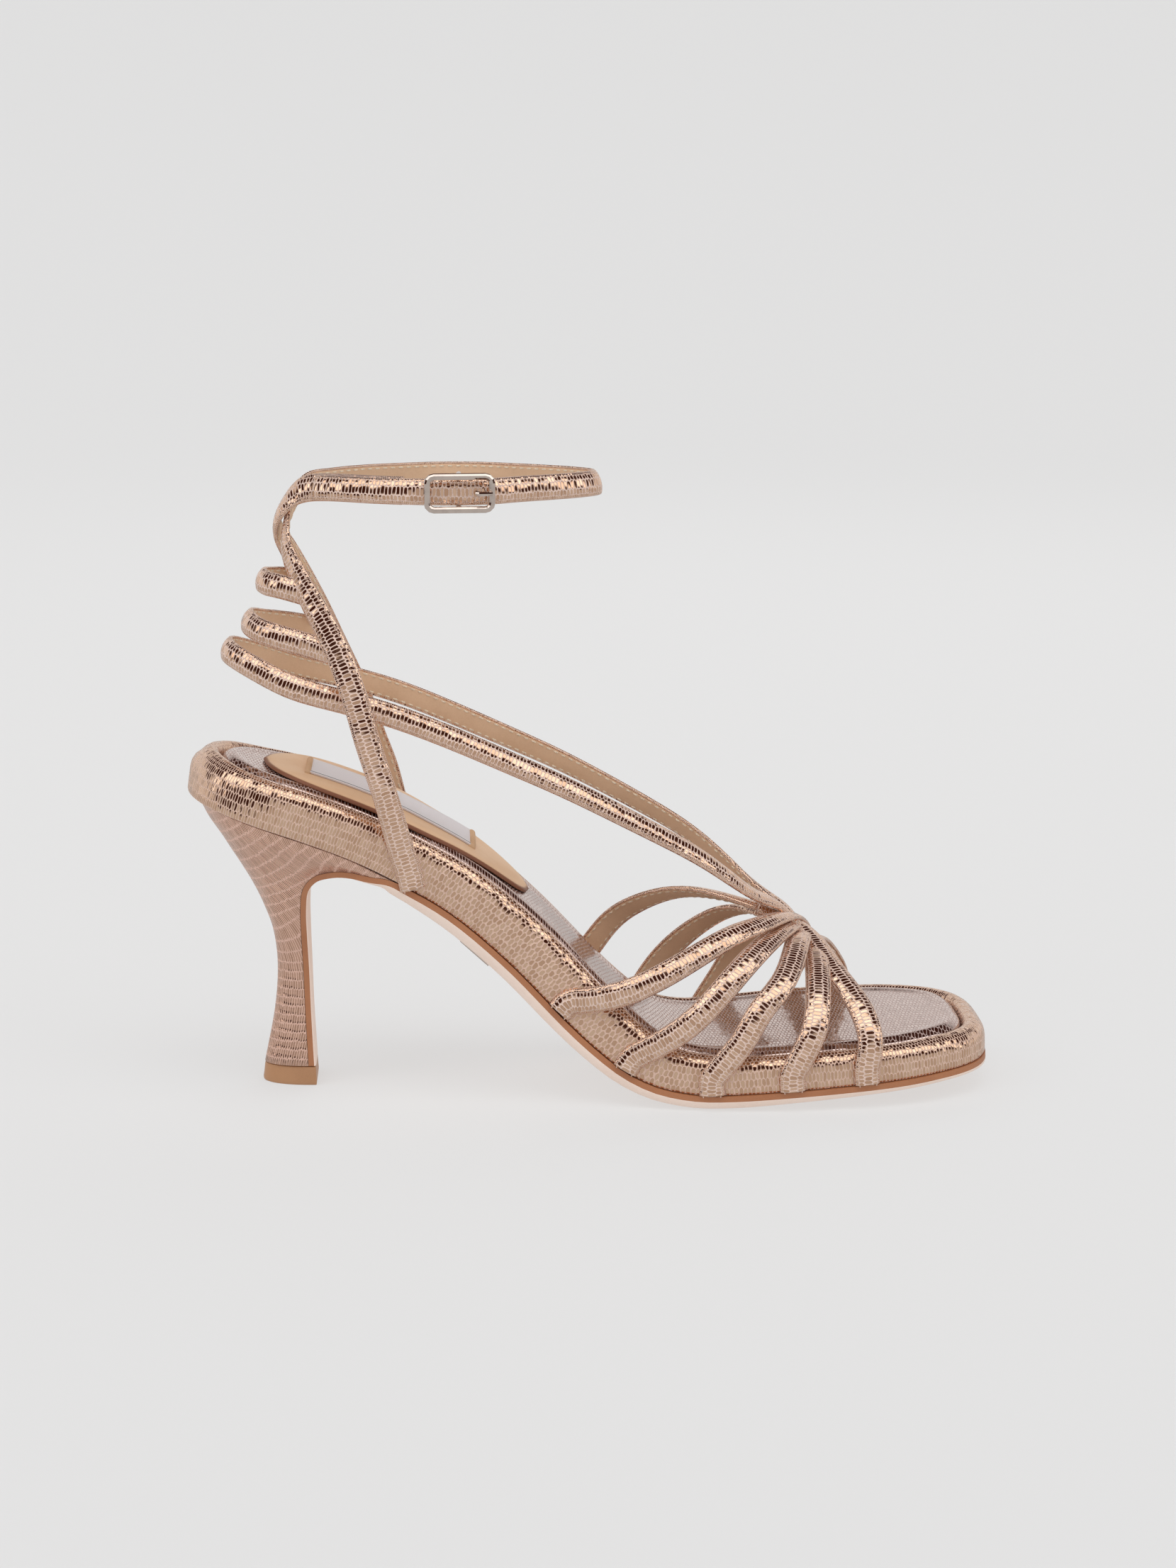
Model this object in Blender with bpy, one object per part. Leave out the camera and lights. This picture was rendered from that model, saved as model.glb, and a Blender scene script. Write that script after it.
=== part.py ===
"""Strappy heeled sandal, a right shoe, standing empty on its heel and ball.

+X points to the toe, -Y to the outer side with the buckle, +Z up. Metres.
The sole stack is drawn flat, as outline rings in along, across and height, and then bent
along the profile of the last. The straps are bands that run over the instep and round the ankle.
"""
import math

import bpy
import bmesh
from mathutils import Matrix, Vector

MM = 0.001

# Driving dimensions
SOLE_LENGTH = 215.5 * MM
BALL_WIDTH = 76 * MM
HEEL_LIFT = 76.3 * MM
TOE_SPRING = 4.2 * MM
SOLE_EDGE = 1.5 * MM
SOLE_BELLY = 2.7 * MM
SOLE_PROUD = 0.7 * MM
FOREFOOT_LEVEL = 4.1 * MM
WRAP_HEIGHT = 12.3 * MM
RIM_WIDTH = 6.3 * MM
PAD_RISE = 0.6 * MM
SOCK_THICKNESS = 1.1 * MM
LABEL_LENGTH = 44 * MM
LABEL_WIDTH = 19 * MM
LABEL_THICKNESS = 0.6 * MM
LABEL_ASIDE = 1.5 * MM
TOP_PIECE_HEIGHT = 5 * MM
TOP_PIECE_FLARE = 0.7 * MM
HEEL_SEAT_WIDTH = 56 * MM
PLATE_LENGTH = 10 * MM
PLATE_WIDTH = 14 * MM
PLATE_THICKNESS = 0.8 * MM
INSTEP_HEIGHT = 56 * MM
STRAP_WIDTH = 6.8 * MM
LOOP_WIDTH = 6.4 * MM
STRAP_THICKNESS = 2.0 * MM
ANKLE_HEIGHT = 162.4 * MM
ANKLE_LENGTH = 83.4 * MM
ANKLE_WIDTH = 44.6 * MM
ANKLE_STRAP_WIDTH = 7.4 * MM
ANKLE_STRAP_THICKNESS = 1.6 * MM
BUCKLE_LENGTH = 18.5 * MM
BUCKLE_HEIGHT = 10.3 * MM
BUCKLE_BAR = 0.9 * MM
CENTRE_BAR = 0.7 * MM
PRONG_RADIUS = 0.6 * MM
KNOT_LENGTH = 28 * MM
KNOT_WIDTH = 14 * MM
KNOT_HEIGHT = 8.8 * MM
KNOT_ALONG = 0.750
PRONG_HOLE = 0.24
PLATE_ALONG = 0.372
PLATE_ASIDE = -12 * MM
LABEL_ALONG = 0.222
LONG_STRAP_CENTRE = 0.36
LONG_STRAP_TURN = 3
INNER_LEAN = 0.35
LOOP_CENTRE = 0.22
RISER_CENTRE = 0.20
GAP = 0.3 * MM

HEEL_BACK = -(SOLE_LENGTH + SOLE_PROUD) / 2
LATERAL = -1
MEDIAL = 1

# Profile of the sole's upper face: along, lift of the heel, spring of the toe
PROFILE = [
    (0.000, 1.003, 0.0),
    (0.070, 0.948, 0.0),
    (0.139, 0.889, 0.0),
    (0.207, 0.816, 0.0),
    (0.260, 0.739, 0.0),
    (0.328, 0.618, 0.0),
    (0.397, 0.446, 0.0),
    (0.467, 0.240, 0.0),
    (0.502, 0.148, 0.0),
    (0.536, 0.075, 0.0),
    (0.571, 0.028, 0.0),
    (0.606, 0.006, 0.0),
    (0.641, 0.000, 0.0),
    (0.745, 0.000, 0.3),
    (0.850, 0.000, 0.6),
    (0.925, 0.000, 0.83),
    (1.000, 0.000, 1.0),
]

# Outline of the last: along, outer and inner half width, rim height, belly of the sole
OUTLINE = [
    (0.000, 0.000, 0.000, 1.12, 0.60),
    (0.010, 0.138, 0.138, 1.11, 0.60),
    (0.035, 0.250, 0.250, 1.06, 0.60),
    (0.073, 0.329, 0.329, 1.00, 0.60),
    (0.124, 0.372, 0.369, 1.00, 0.60),
    (0.218, 0.380, 0.355, 1.00, 0.60),
    (0.311, 0.362, 0.310, 1.03, 1.15),
    (0.405, 0.360, 0.282, 1.05, 1.15),
    (0.499, 0.398, 0.290, 1.02, 1.10),
    (0.592, 0.459, 0.366, 0.88, 1.10),
    (0.686, 0.497, 0.456, 0.77, 1.08),
    (0.780, 0.490, 0.498, 0.74, 0.90),
    (0.874, 0.447, 0.487, 0.73, 0.72),
    (0.934, 0.372, 0.425, 0.73, 0.60),
    (0.975, 0.275, 0.335, 0.72, 0.50),
    (0.996, 0.150, 0.205, 0.72, 0.50),
    (1.000, 0.000, 0.000, 0.72, 0.50),
]

# Heel rings from seat to top piece: breast along and lift, back along and lift, half width,
# squareness of the back, hold on the seat's own outline, belly of the sole on the breast
HEEL = [
    (0.260, 0.739, 0.007, 1.000, 1.00, 4.0, 1.0, 0.95),
    (0.236, 0.713, 0.014, 0.960, 0.98, 3.8, 0.7, 0.40),
    (0.206, 0.753, 0.0245, 0.903, 0.93, 3.5, 0.3, 0.10),
    (0.180, 0.767, 0.0455, 0.836, 0.86, 3.2, 0.0, 0.05),
    (0.158, 0.741, 0.062, 0.760, 0.74, 3.0, 0.0, 0.05),
    (0.1435, 0.683, 0.0785, 0.678, 0.59, 2.8, 0.0, 0.10),
    (0.1395, 0.595, 0.092, 0.593, 0.44, 2.6, 0.0, 0.15),
    (0.1395, 0.496, 0.1035, 0.494, 0.32, 2.4, 0.0, 0.18),
    (0.1410, 0.364, 0.108, 0.365, 0.225, 2.2, 0.0, 0.20),
    (0.1425, 0.207, 0.1035, 0.208, 0.215, 2.2, 0.0, 0.20),
    (0.1455, 0.016, 0.090, 0.016, 0.255, 2.2, 0.0, 0.20),
]

# Height of the instep's crest: along, share of the instep height
CREST = [
    (0.40, 1.05),
    (0.50, 1.00),
    (0.60, 0.95),
    (0.69, 0.870),
    (0.747, 0.768),
    (0.78, 0.672),
    (0.818, 0.586),
    (0.874, 0.51),
    (0.944, 0.38),
]

# Vamp straps from the knot to the seam: side, knot, two places between and the shoulder,
# each as along and turn in degrees, then along at the seam
VAMP_STRAPS = [
    (LATERAL, (0.742, -6), (0.665, 36), (0.588, 58), (0.534, 75), 0.455),
    (LATERAL, (0.747, -3), (0.690, 45), (0.640, 67), (0.600, 80), 0.536),
    (LATERAL, (0.760, -5), (0.735, 50), (0.700, 67), (0.680, 80), 0.643),
    (LATERAL, (0.766, -2), (0.776, 47), (0.770, 68), (0.760, 80), 0.741),
    (LATERAL, (0.765, -10), (0.797, 30), (0.827, 49), (0.838, 75), 0.833),
    (MEDIAL, (0.722, -6), (0.630, 26), (0.563, 46), (0.526, 66), 0.462),
    (MEDIAL, (0.745, -4), (0.690, 38), (0.630, 60), (0.590, 77), 0.543),
    (MEDIAL, (0.758, -4), (0.732, 46), (0.699, 67), (0.680, 80), 0.650),
    (MEDIAL, (0.770, -6), (0.788, 45), (0.780, 68), (0.770, 80), 0.746),
    (MEDIAL, (0.770, -10), (0.798, 32), (0.822, 57), (0.834, 75), 0.842),
]

# Long strap from the knot's outer side round behind the heel: along, across, height, lean
LONG_STRAP = [
    (0.735, -0.010, 0.288, 2.40),
    (0.705, -0.085, 0.312, 1.40),
    (0.675, -0.155, 0.346, 1.05),
    (0.628, -0.210, 0.396, 0.80),
    (0.558, -0.245, 0.450, 0.66),
    (0.470, -0.260, 0.513, 0.62),
    (0.400, -0.262, 0.556, 0.60),
    (0.330, -0.264, 0.598, 0.56),
    (0.262, -0.272, 0.635, 0.48),
    (0.197, -0.270, 0.661, 0.38),
    (0.140, -0.240, 0.680, 0.30),
    (0.096, -0.170, 0.705, 0.28),
    (0.064, -0.090, 0.724, 0.35),
    (0.054, 0.000, 0.730, 0.40),
]
INNER_END = (0.743, 0.024, 0.283, 2.40)

# Upper two loops behind the heel, from outer riser to back
MIDDLE_LOOP = [
    (0.190, -0.265, 0.738, 0.10),
    (0.160, -0.225, 0.749, 0.15),
    (0.125, -0.180, 0.759, 0.25),
    (0.093, -0.110, 0.768, 0.40),
    (0.079, 0.000, 0.778, 0.45),
]
TOP_LOOP = [
    (0.163, -0.165, 0.826, 0.10),
    (0.142, -0.140, 0.833, 0.15),
    (0.122, -0.105, 0.838, 0.25),
    (0.106, -0.065, 0.840, 0.30),
    (0.098, 0.000, 0.844, 0.35),
]

# Inner ends of the two loops, tucked under the inner riser
MIDDLE_LOOP_END = [
    (0.160, 0.200, 0.749, 0.15),
    (0.177, 0.217, 0.741, 0.10),
]
TOP_LOOP_END = [
    (0.138, 0.120, 0.833, 0.15),
    (0.151, 0.132, 0.828, 0.10),
]

# Risers above the rim: along, across, height, lean
OUTER_RISER = [
    (0.247, -0.395, 0.520, 0.05),
    (0.236, -0.385, 0.565, 0.10),
    (0.225, -0.370, 0.611, 0.10),
    (0.216, -0.345, 0.655, 0.10),
    (0.205, -0.325, 0.700, 0.10),
    (0.192, -0.283, 0.743, 0.10),
    (0.175, -0.237, 0.786, 0.10),
    (0.157, -0.180, 0.828, 0.10),
    (0.140, -0.120, 0.871, 0.10),
    (0.128, -0.050, 0.915, 0.10),
]
INNER_RISER = [
    (0.243, 0.385, 0.500, 0.05),
    (0.228, 0.375, 0.551, 0.10),
    (0.214, 0.345, 0.611, 0.10),
    (0.198, 0.305, 0.665, 0.10),
    (0.181, 0.250, 0.720, 0.10),
    (0.164, 0.190, 0.780, 0.10),
    (0.146, 0.130, 0.840, 0.10),
    (0.130, 0.070, 0.893, 0.10),
    (0.116, 0.012, 0.936, 0.10),
]

# Ankle ring seen from above, outer half from back to front: along, across, dip of its height
ANKLE_RING = [
    (0.000, 0.00, 0.036),
    (0.060, 0.16, 0.010),
    (0.135, 0.38, 0.002),
    (0.215, 0.60, 0.000),
    (0.300, 0.80, 0.000),
    (0.390, 0.93, 0.000),
    (0.480, 0.99, 0.000),
    (0.560, 1.00, 0.000),
    (0.650, 0.95, 0.000),
    (0.740, 0.82, 0.000),
    (0.870, 0.55, 0.000),
    (0.965, 0.27, 0.000),
    (1.000, 0.00, 0.000),
]
ANKLE_BACK = 0.122

# Belly of the sole from its edge: share of the half width, share of the depth
BELLY_SHAPE = [
    (1.00, 0.00),
    (0.98, 0.50),
    (0.93, 0.84),
    (0.70, 1.00),
]

# Sock seen from above: along, half width as a share of the pad's own half width
SOCK = [
    (0.078, 0.00),
    (0.084, 0.34),
    (0.102, 0.66),
    (0.135, 0.88),
    (0.180, 0.96),
    (0.235, 0.97),
    (0.285, 0.90),
    (0.330, 0.74),
    (0.362, 0.54),
    (0.375, 0.30),
    (0.379, 0.00),
]


def hermite(rows, column, where):
    """Smooth value of a table's column at a place along its first column."""
    keys = [row[0] for row in rows]
    where = min(max(where, keys[0]), keys[-1])
    last = len(rows) - 2
    index = next((k for k in range(last) if where <= keys[k + 1]), last)

    def slope(k):
        before, after = max(k - 1, 0), min(k + 1, len(rows) - 1)
        return (rows[after][column] - rows[before][column]) / (keys[after] - keys[before])

    span = keys[index + 1] - keys[index]
    t = (where - keys[index]) / span
    start, end = rows[index][column], rows[index + 1][column]
    return ((2 * t**3 - 3 * t**2 + 1) * start + (t**3 - 2 * t**2 + t) * span * slope(index)
            + (3 * t**2 - 2 * t**3) * end + (t**3 - t**2) * span * slope(index + 1))


def catmull(points, steps):
    """Smooth run through the points, with a number of steps for each stretch."""
    ends = [points[0] * 2 - points[1]] + points + [points[-1] * 2 - points[-2]]
    run = []
    for k in range(1, len(ends) - 2):
        a, b, c, d = ends[k - 1:k + 3]
        for step in range(steps):
            t = step / steps
            run.append(0.5 * ((2 * b) + (c - a) * t + (2 * a - 5 * b + 4 * c - d) * t**2
                              + (3 * b - a - 3 * c + d) * t**3))
    return run + [points[-1].copy()]


def along_to_x(along):
    return HEEL_BACK + along * SOLE_LENGTH


def profile_height(x):
    along = (x - HEEL_BACK) / SOLE_LENGTH
    return (FOREFOOT_LEVEL + HEEL_LIFT * hermite(PROFILE, 1, along)
            + TOE_SPRING * hermite(PROFILE, 2, along))


def profile_slope(x):
    reach = 1 * MM
    return math.atan2(profile_height(x + reach) - profile_height(x - reach), 2 * reach)


def bend(x, y, rise):
    """Point at a height above the sole's upper face, square to the profile."""
    slope = profile_slope(x)
    return Vector((x - rise * math.sin(slope), y, profile_height(x) + rise * math.cos(slope)))


def outline_rungs(count):
    """Places along the last as x, outer and inner half width, rim height and belly."""
    mirrored = (OUTLINE[1][0], -OUTLINE[1][1], -OUTLINE[1][2]) + OUTLINE[1][3:]
    toe = (OUTLINE[-2][0], -OUTLINE[-2][1], -OUTLINE[-2][2]) + OUTLINE[-2][3:]
    rows = [mirrored] + OUTLINE + [toe]
    rungs = []
    for k in range(1, len(rows) - 2):
        for step in range(count):
            t = step / count
            a, b, c, d = rows[k - 1:k + 3]
            row = [0.5 * (2 * q + (r - p) * t + (2 * p - 5 * q + 4 * r - s) * t**2
                          + (3 * q - p - 3 * r + s) * t**3) for p, q, r, s in zip(a, b, c, d)]
            rungs.append(row)
    rungs.append(list(OUTLINE[-1]))
    return [(along_to_x(row[0]), row[1] * BALL_WIDTH, row[2] * BALL_WIDTH, row[3], row[4])
            for row in rungs]


RUNGS = outline_rungs(2)


def rung_value(x, column):
    """Value of the outline between rungs, straight from one to the next."""
    if x <= RUNGS[0][0]:
        return RUNGS[0][column]
    for low, high in zip(RUNGS, RUNGS[1:]):
        if low[0] <= x <= high[0]:
            share = (x - low[0]) / (high[0] - low[0])
            return low[column] + (high[column] - low[column]) * share
    return RUNGS[-1][column]


def half_width(x, side):
    return rung_value(x, 1 if side == LATERAL else 2)


def wrap_height(x):
    return WRAP_HEIGHT * rung_value(x, 3)


def flat_ring(inset):
    """Closed outline seen from above, a distance inside the last's edge."""
    outer = [Vector((x, -wide)) for x, wide, _, _, _ in RUNGS]
    inner = [Vector((x, wide)) for x, _, wide, _, _ in RUNGS]
    loop = outer + inner[-2:0:-1]
    ring = []
    for k, point in enumerate(loop):
        run = loop[(k + 1) % len(loop)] - loop[k - 1]
        normal = Vector((-run.y, run.x)).normalized()
        ring.append(point + normal * inset)
    return ring


def add_object(name, bm, material, collection):
    bmesh.ops.recalc_face_normals(bm, faces=bm.faces)
    mesh = bpy.data.meshes.new(name)
    bm.to_mesh(mesh)
    bm.free()
    mesh.shade_smooth()
    mesh.set_sharp_from_angle(angle=math.radians(35))
    obj = bpy.data.objects.new(name, mesh)
    collection.objects.link(obj)
    if material is not None:
        mesh.materials.append(material)
    return obj


def loft(rings, closed_ends=True):
    """Skin between rings of equal count, with each end closed by one face or a ladder."""
    bm = bmesh.new()
    verts = [[bm.verts.new(point) for point in ring] for ring in rings]
    count = len(rings[0])
    for low, high in zip(verts, verts[1:]):
        for k in range(count):
            after = (k + 1) % count
            bm.faces.new((low[k], low[after], high[after], high[k]))
    if closed_ends:
        bm.faces.new(verts[0][::-1])
        bm.faces.new(verts[-1])
    return bm, verts


def ladder(bm, ring):
    """Close a ring with rungs between its two sides, so that the cap follows the bend."""
    half = len(ring) // 2
    left, right = ring[1:half], ring[:half:-1]
    bm.faces.new((ring[0], left[0], right[0]))
    for k in range(len(left) - 1):
        bm.faces.new((left[k], left[k + 1], right[k + 1], right[k]))
    bm.faces.new((left[-1], ring[half], right[-1]))


def bent_rings(rows):
    """Outline rings bent to the profile, from rows of inset, share of wrap height and rise."""
    rings = []
    for inset, share, rise in rows:
        ring = [bend(p.x, p.y, wrap_height(p.x) * share + rise) for p in flat_ring(inset)]
        rings.append(ring)
    return rings


def build_wrap(material, collection):
    rows = [
        (0.13 * RIM_WIDTH, 0.0, GAP),
        (0.03 * RIM_WIDTH, 0.18, 0),
        (0.0, 0.42, 0),
        (0.03 * RIM_WIDTH, 0.62, 0),
        (0.14 * RIM_WIDTH, 0.80, 0),
        (0.34 * RIM_WIDTH, 0.94, 0),
        (0.60 * RIM_WIDTH, 1.0, 0),
        (0.82 * RIM_WIDTH, 0.96, 0),
        (0.95 * RIM_WIDTH, 0.86, 0),
        (1.0 * RIM_WIDTH, 0.50, 0),
    ]
    bm, verts = loft(bent_rings(rows), closed_ends=False)
    ladder(bm, verts[0])
    ladder(bm, verts[-1])
    return add_object("footbed_wrap", bm, material, collection)


def pad_top(x):
    return wrap_height(x) + PAD_RISE


def build_pad(material, collection):
    edge = RIM_WIDTH + GAP
    rows = [
        (edge, 0.50, GAP),
        (edge, 0.86, 0),
        (edge + 0.10 * RIM_WIDTH, 1.0, -0.8 * PAD_RISE),
        (edge + 0.35 * RIM_WIDTH, 1.0, 0.5 * PAD_RISE),
        (edge + 0.80 * RIM_WIDTH, 1.0, PAD_RISE),
    ]
    bm, verts = loft(bent_rings(rows), closed_ends=False)
    ladder(bm, verts[0])
    ladder(bm, verts[-1])
    return add_object("insole_pad", bm, material, collection)


def sock_half_width(along, side):
    x = along_to_x(along)
    return max(half_width(x, side) - RIM_WIDTH - GAP, 0) * hermite(SOCK, 1, along)


def build_sock(material, collection):
    steps = 26
    start, end = SOCK[0][0], SOCK[-1][0]
    places = [start + (end - start) * 0.5 * (1 - math.cos(math.pi * k / steps))
              for k in range(steps + 1)]
    outer = [Vector((along_to_x(a), -sock_half_width(a, LATERAL))) for a in places]
    inner = [Vector((along_to_x(a), sock_half_width(a, MEDIAL))) for a in places]
    loop = outer + inner[-2:0:-1]
    middle = Vector((along_to_x((start + end) / 2), 0))
    rings = []
    for rise, pull in ((GAP, 0.02), (GAP + 0.4 * SOCK_THICKNESS, 0), (GAP + SOCK_THICKNESS, 0.03)):
        flat = [p + (middle - p) * pull for p in loop]
        rings.append([bend(p.x, p.y, pad_top(p.x) + rise) for p in flat])
    bm, verts = loft(rings, closed_ends=False)
    ladder(bm, verts[0])
    ladder(bm, verts[-1])
    return add_object("heel_sock", bm, material, collection)


def build_label(material, collection):
    """Flat strip bent to the sock, a ladder of short lengths."""
    base = GAP + SOCK_THICKNESS + GAP
    steps = 10
    centre = along_to_x(LABEL_ALONG)
    rings = []
    for k in range(steps + 1):
        x = centre + LABEL_LENGTH * math.cos(profile_slope(centre)) * (k / steps - 0.5)
        corners = [(-1, 0), (1, 0), (1, 1), (-1, 1)]
        rings.append([bend(x, LABEL_ASIDE + side * LABEL_WIDTH / 2,
                           pad_top(x) + base + up * LABEL_THICKNESS) for side, up in corners])
    bm, _ = loft(rings)
    return add_object("label", bm, material, collection)


def heel_ring(row, count):
    """U-shaped ring of the heel, from the outer end of its breast round the back."""
    front_x, back_x = along_to_x(row[0]), along_to_x(row[2])
    front_z = FOREFOOT_LEVEL + HEEL_LIFT * row[1]
    back_z = FOREFOOT_LEVEL + HEEL_LIFT * row[3]
    wide = row[4] * HEEL_SEAT_WIDTH / 2
    hold = row[6]
    seat_front, seat_back = along_to_x(HEEL[0][0]), HEEL_BACK
    ring = []
    for k in range(count + 1):
        turn = math.pi * k / count
        share = math.sin(turn) ** (2 / row[5])
        side = LATERAL if math.cos(turn) > 0 else MEDIAL
        x = front_x + (back_x - front_x) * share
        seat = half_width(seat_front + (seat_back - seat_front) * share, side)
        y = side * (hold * seat + (1 - hold) * wide * abs(math.cos(turn)))
        level = front_z + (back_z - front_z) * share
        z = hold * profile_height(x) + (1 - hold) * level
        ring.append(Vector((x, y, z)))
    return ring


def build_heel(material, collection):
    count = 24
    rings = [heel_ring(row, count) for row in HEEL]
    bm, verts = loft(rings, closed_ends=False)
    top = verts[0]
    half = count // 2
    for k in range(half - 1):
        bm.faces.new((top[k], top[k + 1], top[count - k - 1], top[count - k]))
    bm.faces.new((top[half - 1], top[half], top[half + 1]))
    bm.faces.new(verts[-1])
    return add_object("heel", bm, material, collection)


def build_top_piece(material, collection):
    last = HEEL[-1]
    front = along_to_x(last[0]) + SOLE_EDGE + last[7] * SOLE_BELLY
    back = along_to_x(last[2])
    wide = last[4] * HEEL_SEAT_WIDTH / 2
    count = 20
    rings = []
    for height, flare in ((TOP_PIECE_HEIGHT, 0), (0.2 * TOP_PIECE_HEIGHT, TOP_PIECE_FLARE),
                          (0, 0.6 * TOP_PIECE_FLARE)):
        ring = []
        for k in range(count + 1):
            turn = math.pi * k / count
            share = math.sin(turn) ** (2 / last[5])
            x = front + flare * 0.3 + (back - flare - front) * share
            ring.append(Vector((x, -(wide + flare * 0.5) * math.cos(turn), height)))
        rings.append(ring)
    bm, _ = loft(rings)
    return add_object("top_piece", bm, material, collection)


def sole_path():
    """Stations of the outsole from the top piece up the breast and on to the toe:
    place, half widths, belly."""
    stations = []
    for row in HEEL[::-1]:
        ring = heel_ring(row, 24)
        place = (ring[0] + ring[-1]) / 2
        stations.append((Vector((place.x, 0, place.z)), -ring[0].y, ring[-1].y, row[7]))
    joined = stations[-1][0].x
    for x, outer, inner, _, belly in RUNGS[:-1]:
        if x > joined + 4 * MM:
            centre = Vector((x, 0, profile_height(x)))
            stations.append((centre, outer + SOLE_PROUD, inner + SOLE_PROUD, belly))
    tip = RUNGS[-1][0] + SOLE_PROUD
    _, outer, inner, _, belly = RUNGS[-2]
    centre = Vector((tip, 0, profile_height(tip)))
    stations.append((centre, outer * 0.8, inner * 0.8, belly))
    return stations


def build_outsole(material, collection, cutters):
    stations = sole_path()
    rings = []
    for k, (place, outer, inner, belly) in enumerate(stations):
        before = stations[max(k - 1, 0)][0]
        after = stations[min(k + 1, len(stations) - 1)][0]
        run = (after - before).normalized()
        down = Vector((run.z, 0, -run.x))
        if k == 0:
            down = Vector((1, 0, 0))
        on_breast = place.x < along_to_x(HEEL[0][0]) - 1 * MM
        start = place + down * (GAP if on_breast else 0)
        depth = belly * SOLE_BELLY
        ring = [start + Vector((0, -outer, 0)), start + Vector((0, inner, 0))]
        for side, wide in ((1, inner), (-1, outer)):
            for share, sink in BELLY_SHAPE[::side]:
                low = down * (SOLE_EDGE + sink * depth)
                ring.append(start + Vector((0, side * wide * share, 0)) + low)
        rings.append(ring)
    bm, _ = loft(rings)
    sole = add_object("outsole", bm, material, collection)
    cut_box = bmesh.new()
    bmesh.ops.create_cube(cut_box, size=1)
    size = (SOLE_LENGTH * 1.5, BALL_WIDTH * 1.5, SOLE_BELLY * 4)
    bmesh.ops.scale(cut_box, verts=cut_box.verts, vec=size)
    bmesh.ops.translate(cut_box, verts=cut_box.verts, vec=(0, 0, -SOLE_BELLY * 2))
    floor = add_object("floor_cutter", cut_box, None, cutters)
    cut(sole, floor)
    return sole


def cut(obj, cutter, operation="DIFFERENCE"):
    cutter.hide_render = True
    cutter.display_type = "WIRE"
    modifier = obj.modifiers.new(cutter.name, "BOOLEAN")
    modifier.operation = operation
    modifier.object = cutter
    modifier.solver = "EXACT"
    modifier.use_self = operation == "UNION"


def rim_height(x):
    """World height of the rim's shoulder at a place along the shoe."""
    return profile_height(x) + 0.84 * wrap_height(x) / math.cos(profile_slope(x))


def instep_point(along, turn, side):
    """Point on the form that the vamp straps lie on, a turn away from its crest."""
    x = along_to_x(along)
    angle = math.radians(turn)
    wide = half_width(x, side) + GAP + 0.1 * MM
    base = rim_height(x)
    crest = INSTEP_HEIGHT * hermite(CREST, 1, along)
    place = Vector((x, side * wide * math.sin(angle), base + (crest - base) * math.cos(angle)))
    face = Vector((0, side * math.sin(angle) / wide, math.cos(angle) / (crest - base)))
    return place, face.normalized()


def wall_point(along, share, side):
    """Point just outside the wrap's wall, at a share of its height."""
    x = along_to_x(along)
    wide = half_width(x, side) + GAP + 0.2 * MM
    reach = STRAP_WIDTH / 2
    spread = (half_width(x + reach, side) - half_width(x - reach, side)) / (2 * reach)
    face = Vector((-spread, side, 0)).normalized()
    return bend(x, side * wide, wrap_height(x) * share), face


def band(path, width, thickness, steps):
    """Strap with a flat inner face on the path and a rounded outer face."""
    places = catmull([place for place, _ in path], steps)
    faces = catmull([face for _, face in path], steps)
    rings = []
    for k, (place, face) in enumerate(zip(places, faces)):
        run = (places[min(k + 1, len(places) - 1)] - places[max(k - 1, 0)]).normalized()
        out = (face - run * face.dot(run)).normalized()
        across = run.cross(out)
        shape = [(-0.5, 0), (0.5, 0), (0.5, 0.5), (0.32, 1), (-0.32, 1), (-0.5, 0.5)]
        rings.append([place + across * u * width + out * v * thickness for u, v in shape])
    bm, _ = loft(rings)
    return bm


def free_path(rows, centre_along, turn=1):
    """Path and outward faces of a strap round the leg, from rows of along, across, height, lean.
    A turn over 1 makes the faces look more to the side."""
    centre_x = along_to_x(centre_along)
    path = []
    for along, across, height, lean in rows:
        place = Vector((along_to_x(along), across * BALL_WIDTH, height * ANKLE_HEIGHT))
        face = Vector((place.x - centre_x, place.y * turn, 0)).normalized()
        face.z = lean
        path.append((place, face.normalized()))
    return path


def mirrored_rows(rows, end):
    """A half loop's rows carried on to the inner side, the last ones given by its own end."""
    mirror = [(along, -across, height, lean * INNER_LEAN)
              for along, across, height, lean in rows[-2::-1]]
    return rows + mirror[:-len(end)] + end


def vamp_path(row):
    side, knot, upper, middle, shoulder, seam = row
    path = [instep_point(*knot, side), instep_point(*upper, side), instep_point(*middle, side),
            instep_point(*shoulder, side)]
    rise = (0.62, 0.36, 0.09)
    path += [wall_point(seam + (shoulder[0] - seam) * 0.12, rise[0], side),
             wall_point(seam, rise[1], side), wall_point(seam, rise[2], side)]
    return path


def ankle_ring_point(row, side, lift=0.0):
    """Point of the ankle ring, with its outward face, lifted off its base line."""
    back = along_to_x(ANKLE_BACK)
    place = Vector((back + row[0] * ANKLE_LENGTH, side * row[1] * ANKLE_WIDTH / 2,
                    ANKLE_HEIGHT * (1 - row[2])))
    face = Vector((place.x - (back + ANKLE_LENGTH * 0.5), place.y * 2.2, 0)).normalized()
    return place + face * lift, face


def riser_foot(along, side):
    """Foot of a riser on the wrap's wall, which it crosses aslant."""
    return [wall_point(along, 0.09, side), wall_point(along - 0.016, 0.40, side),
            wall_point(along - 0.034, 0.75, side)]


BUCKLE_ROW = 7


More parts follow.
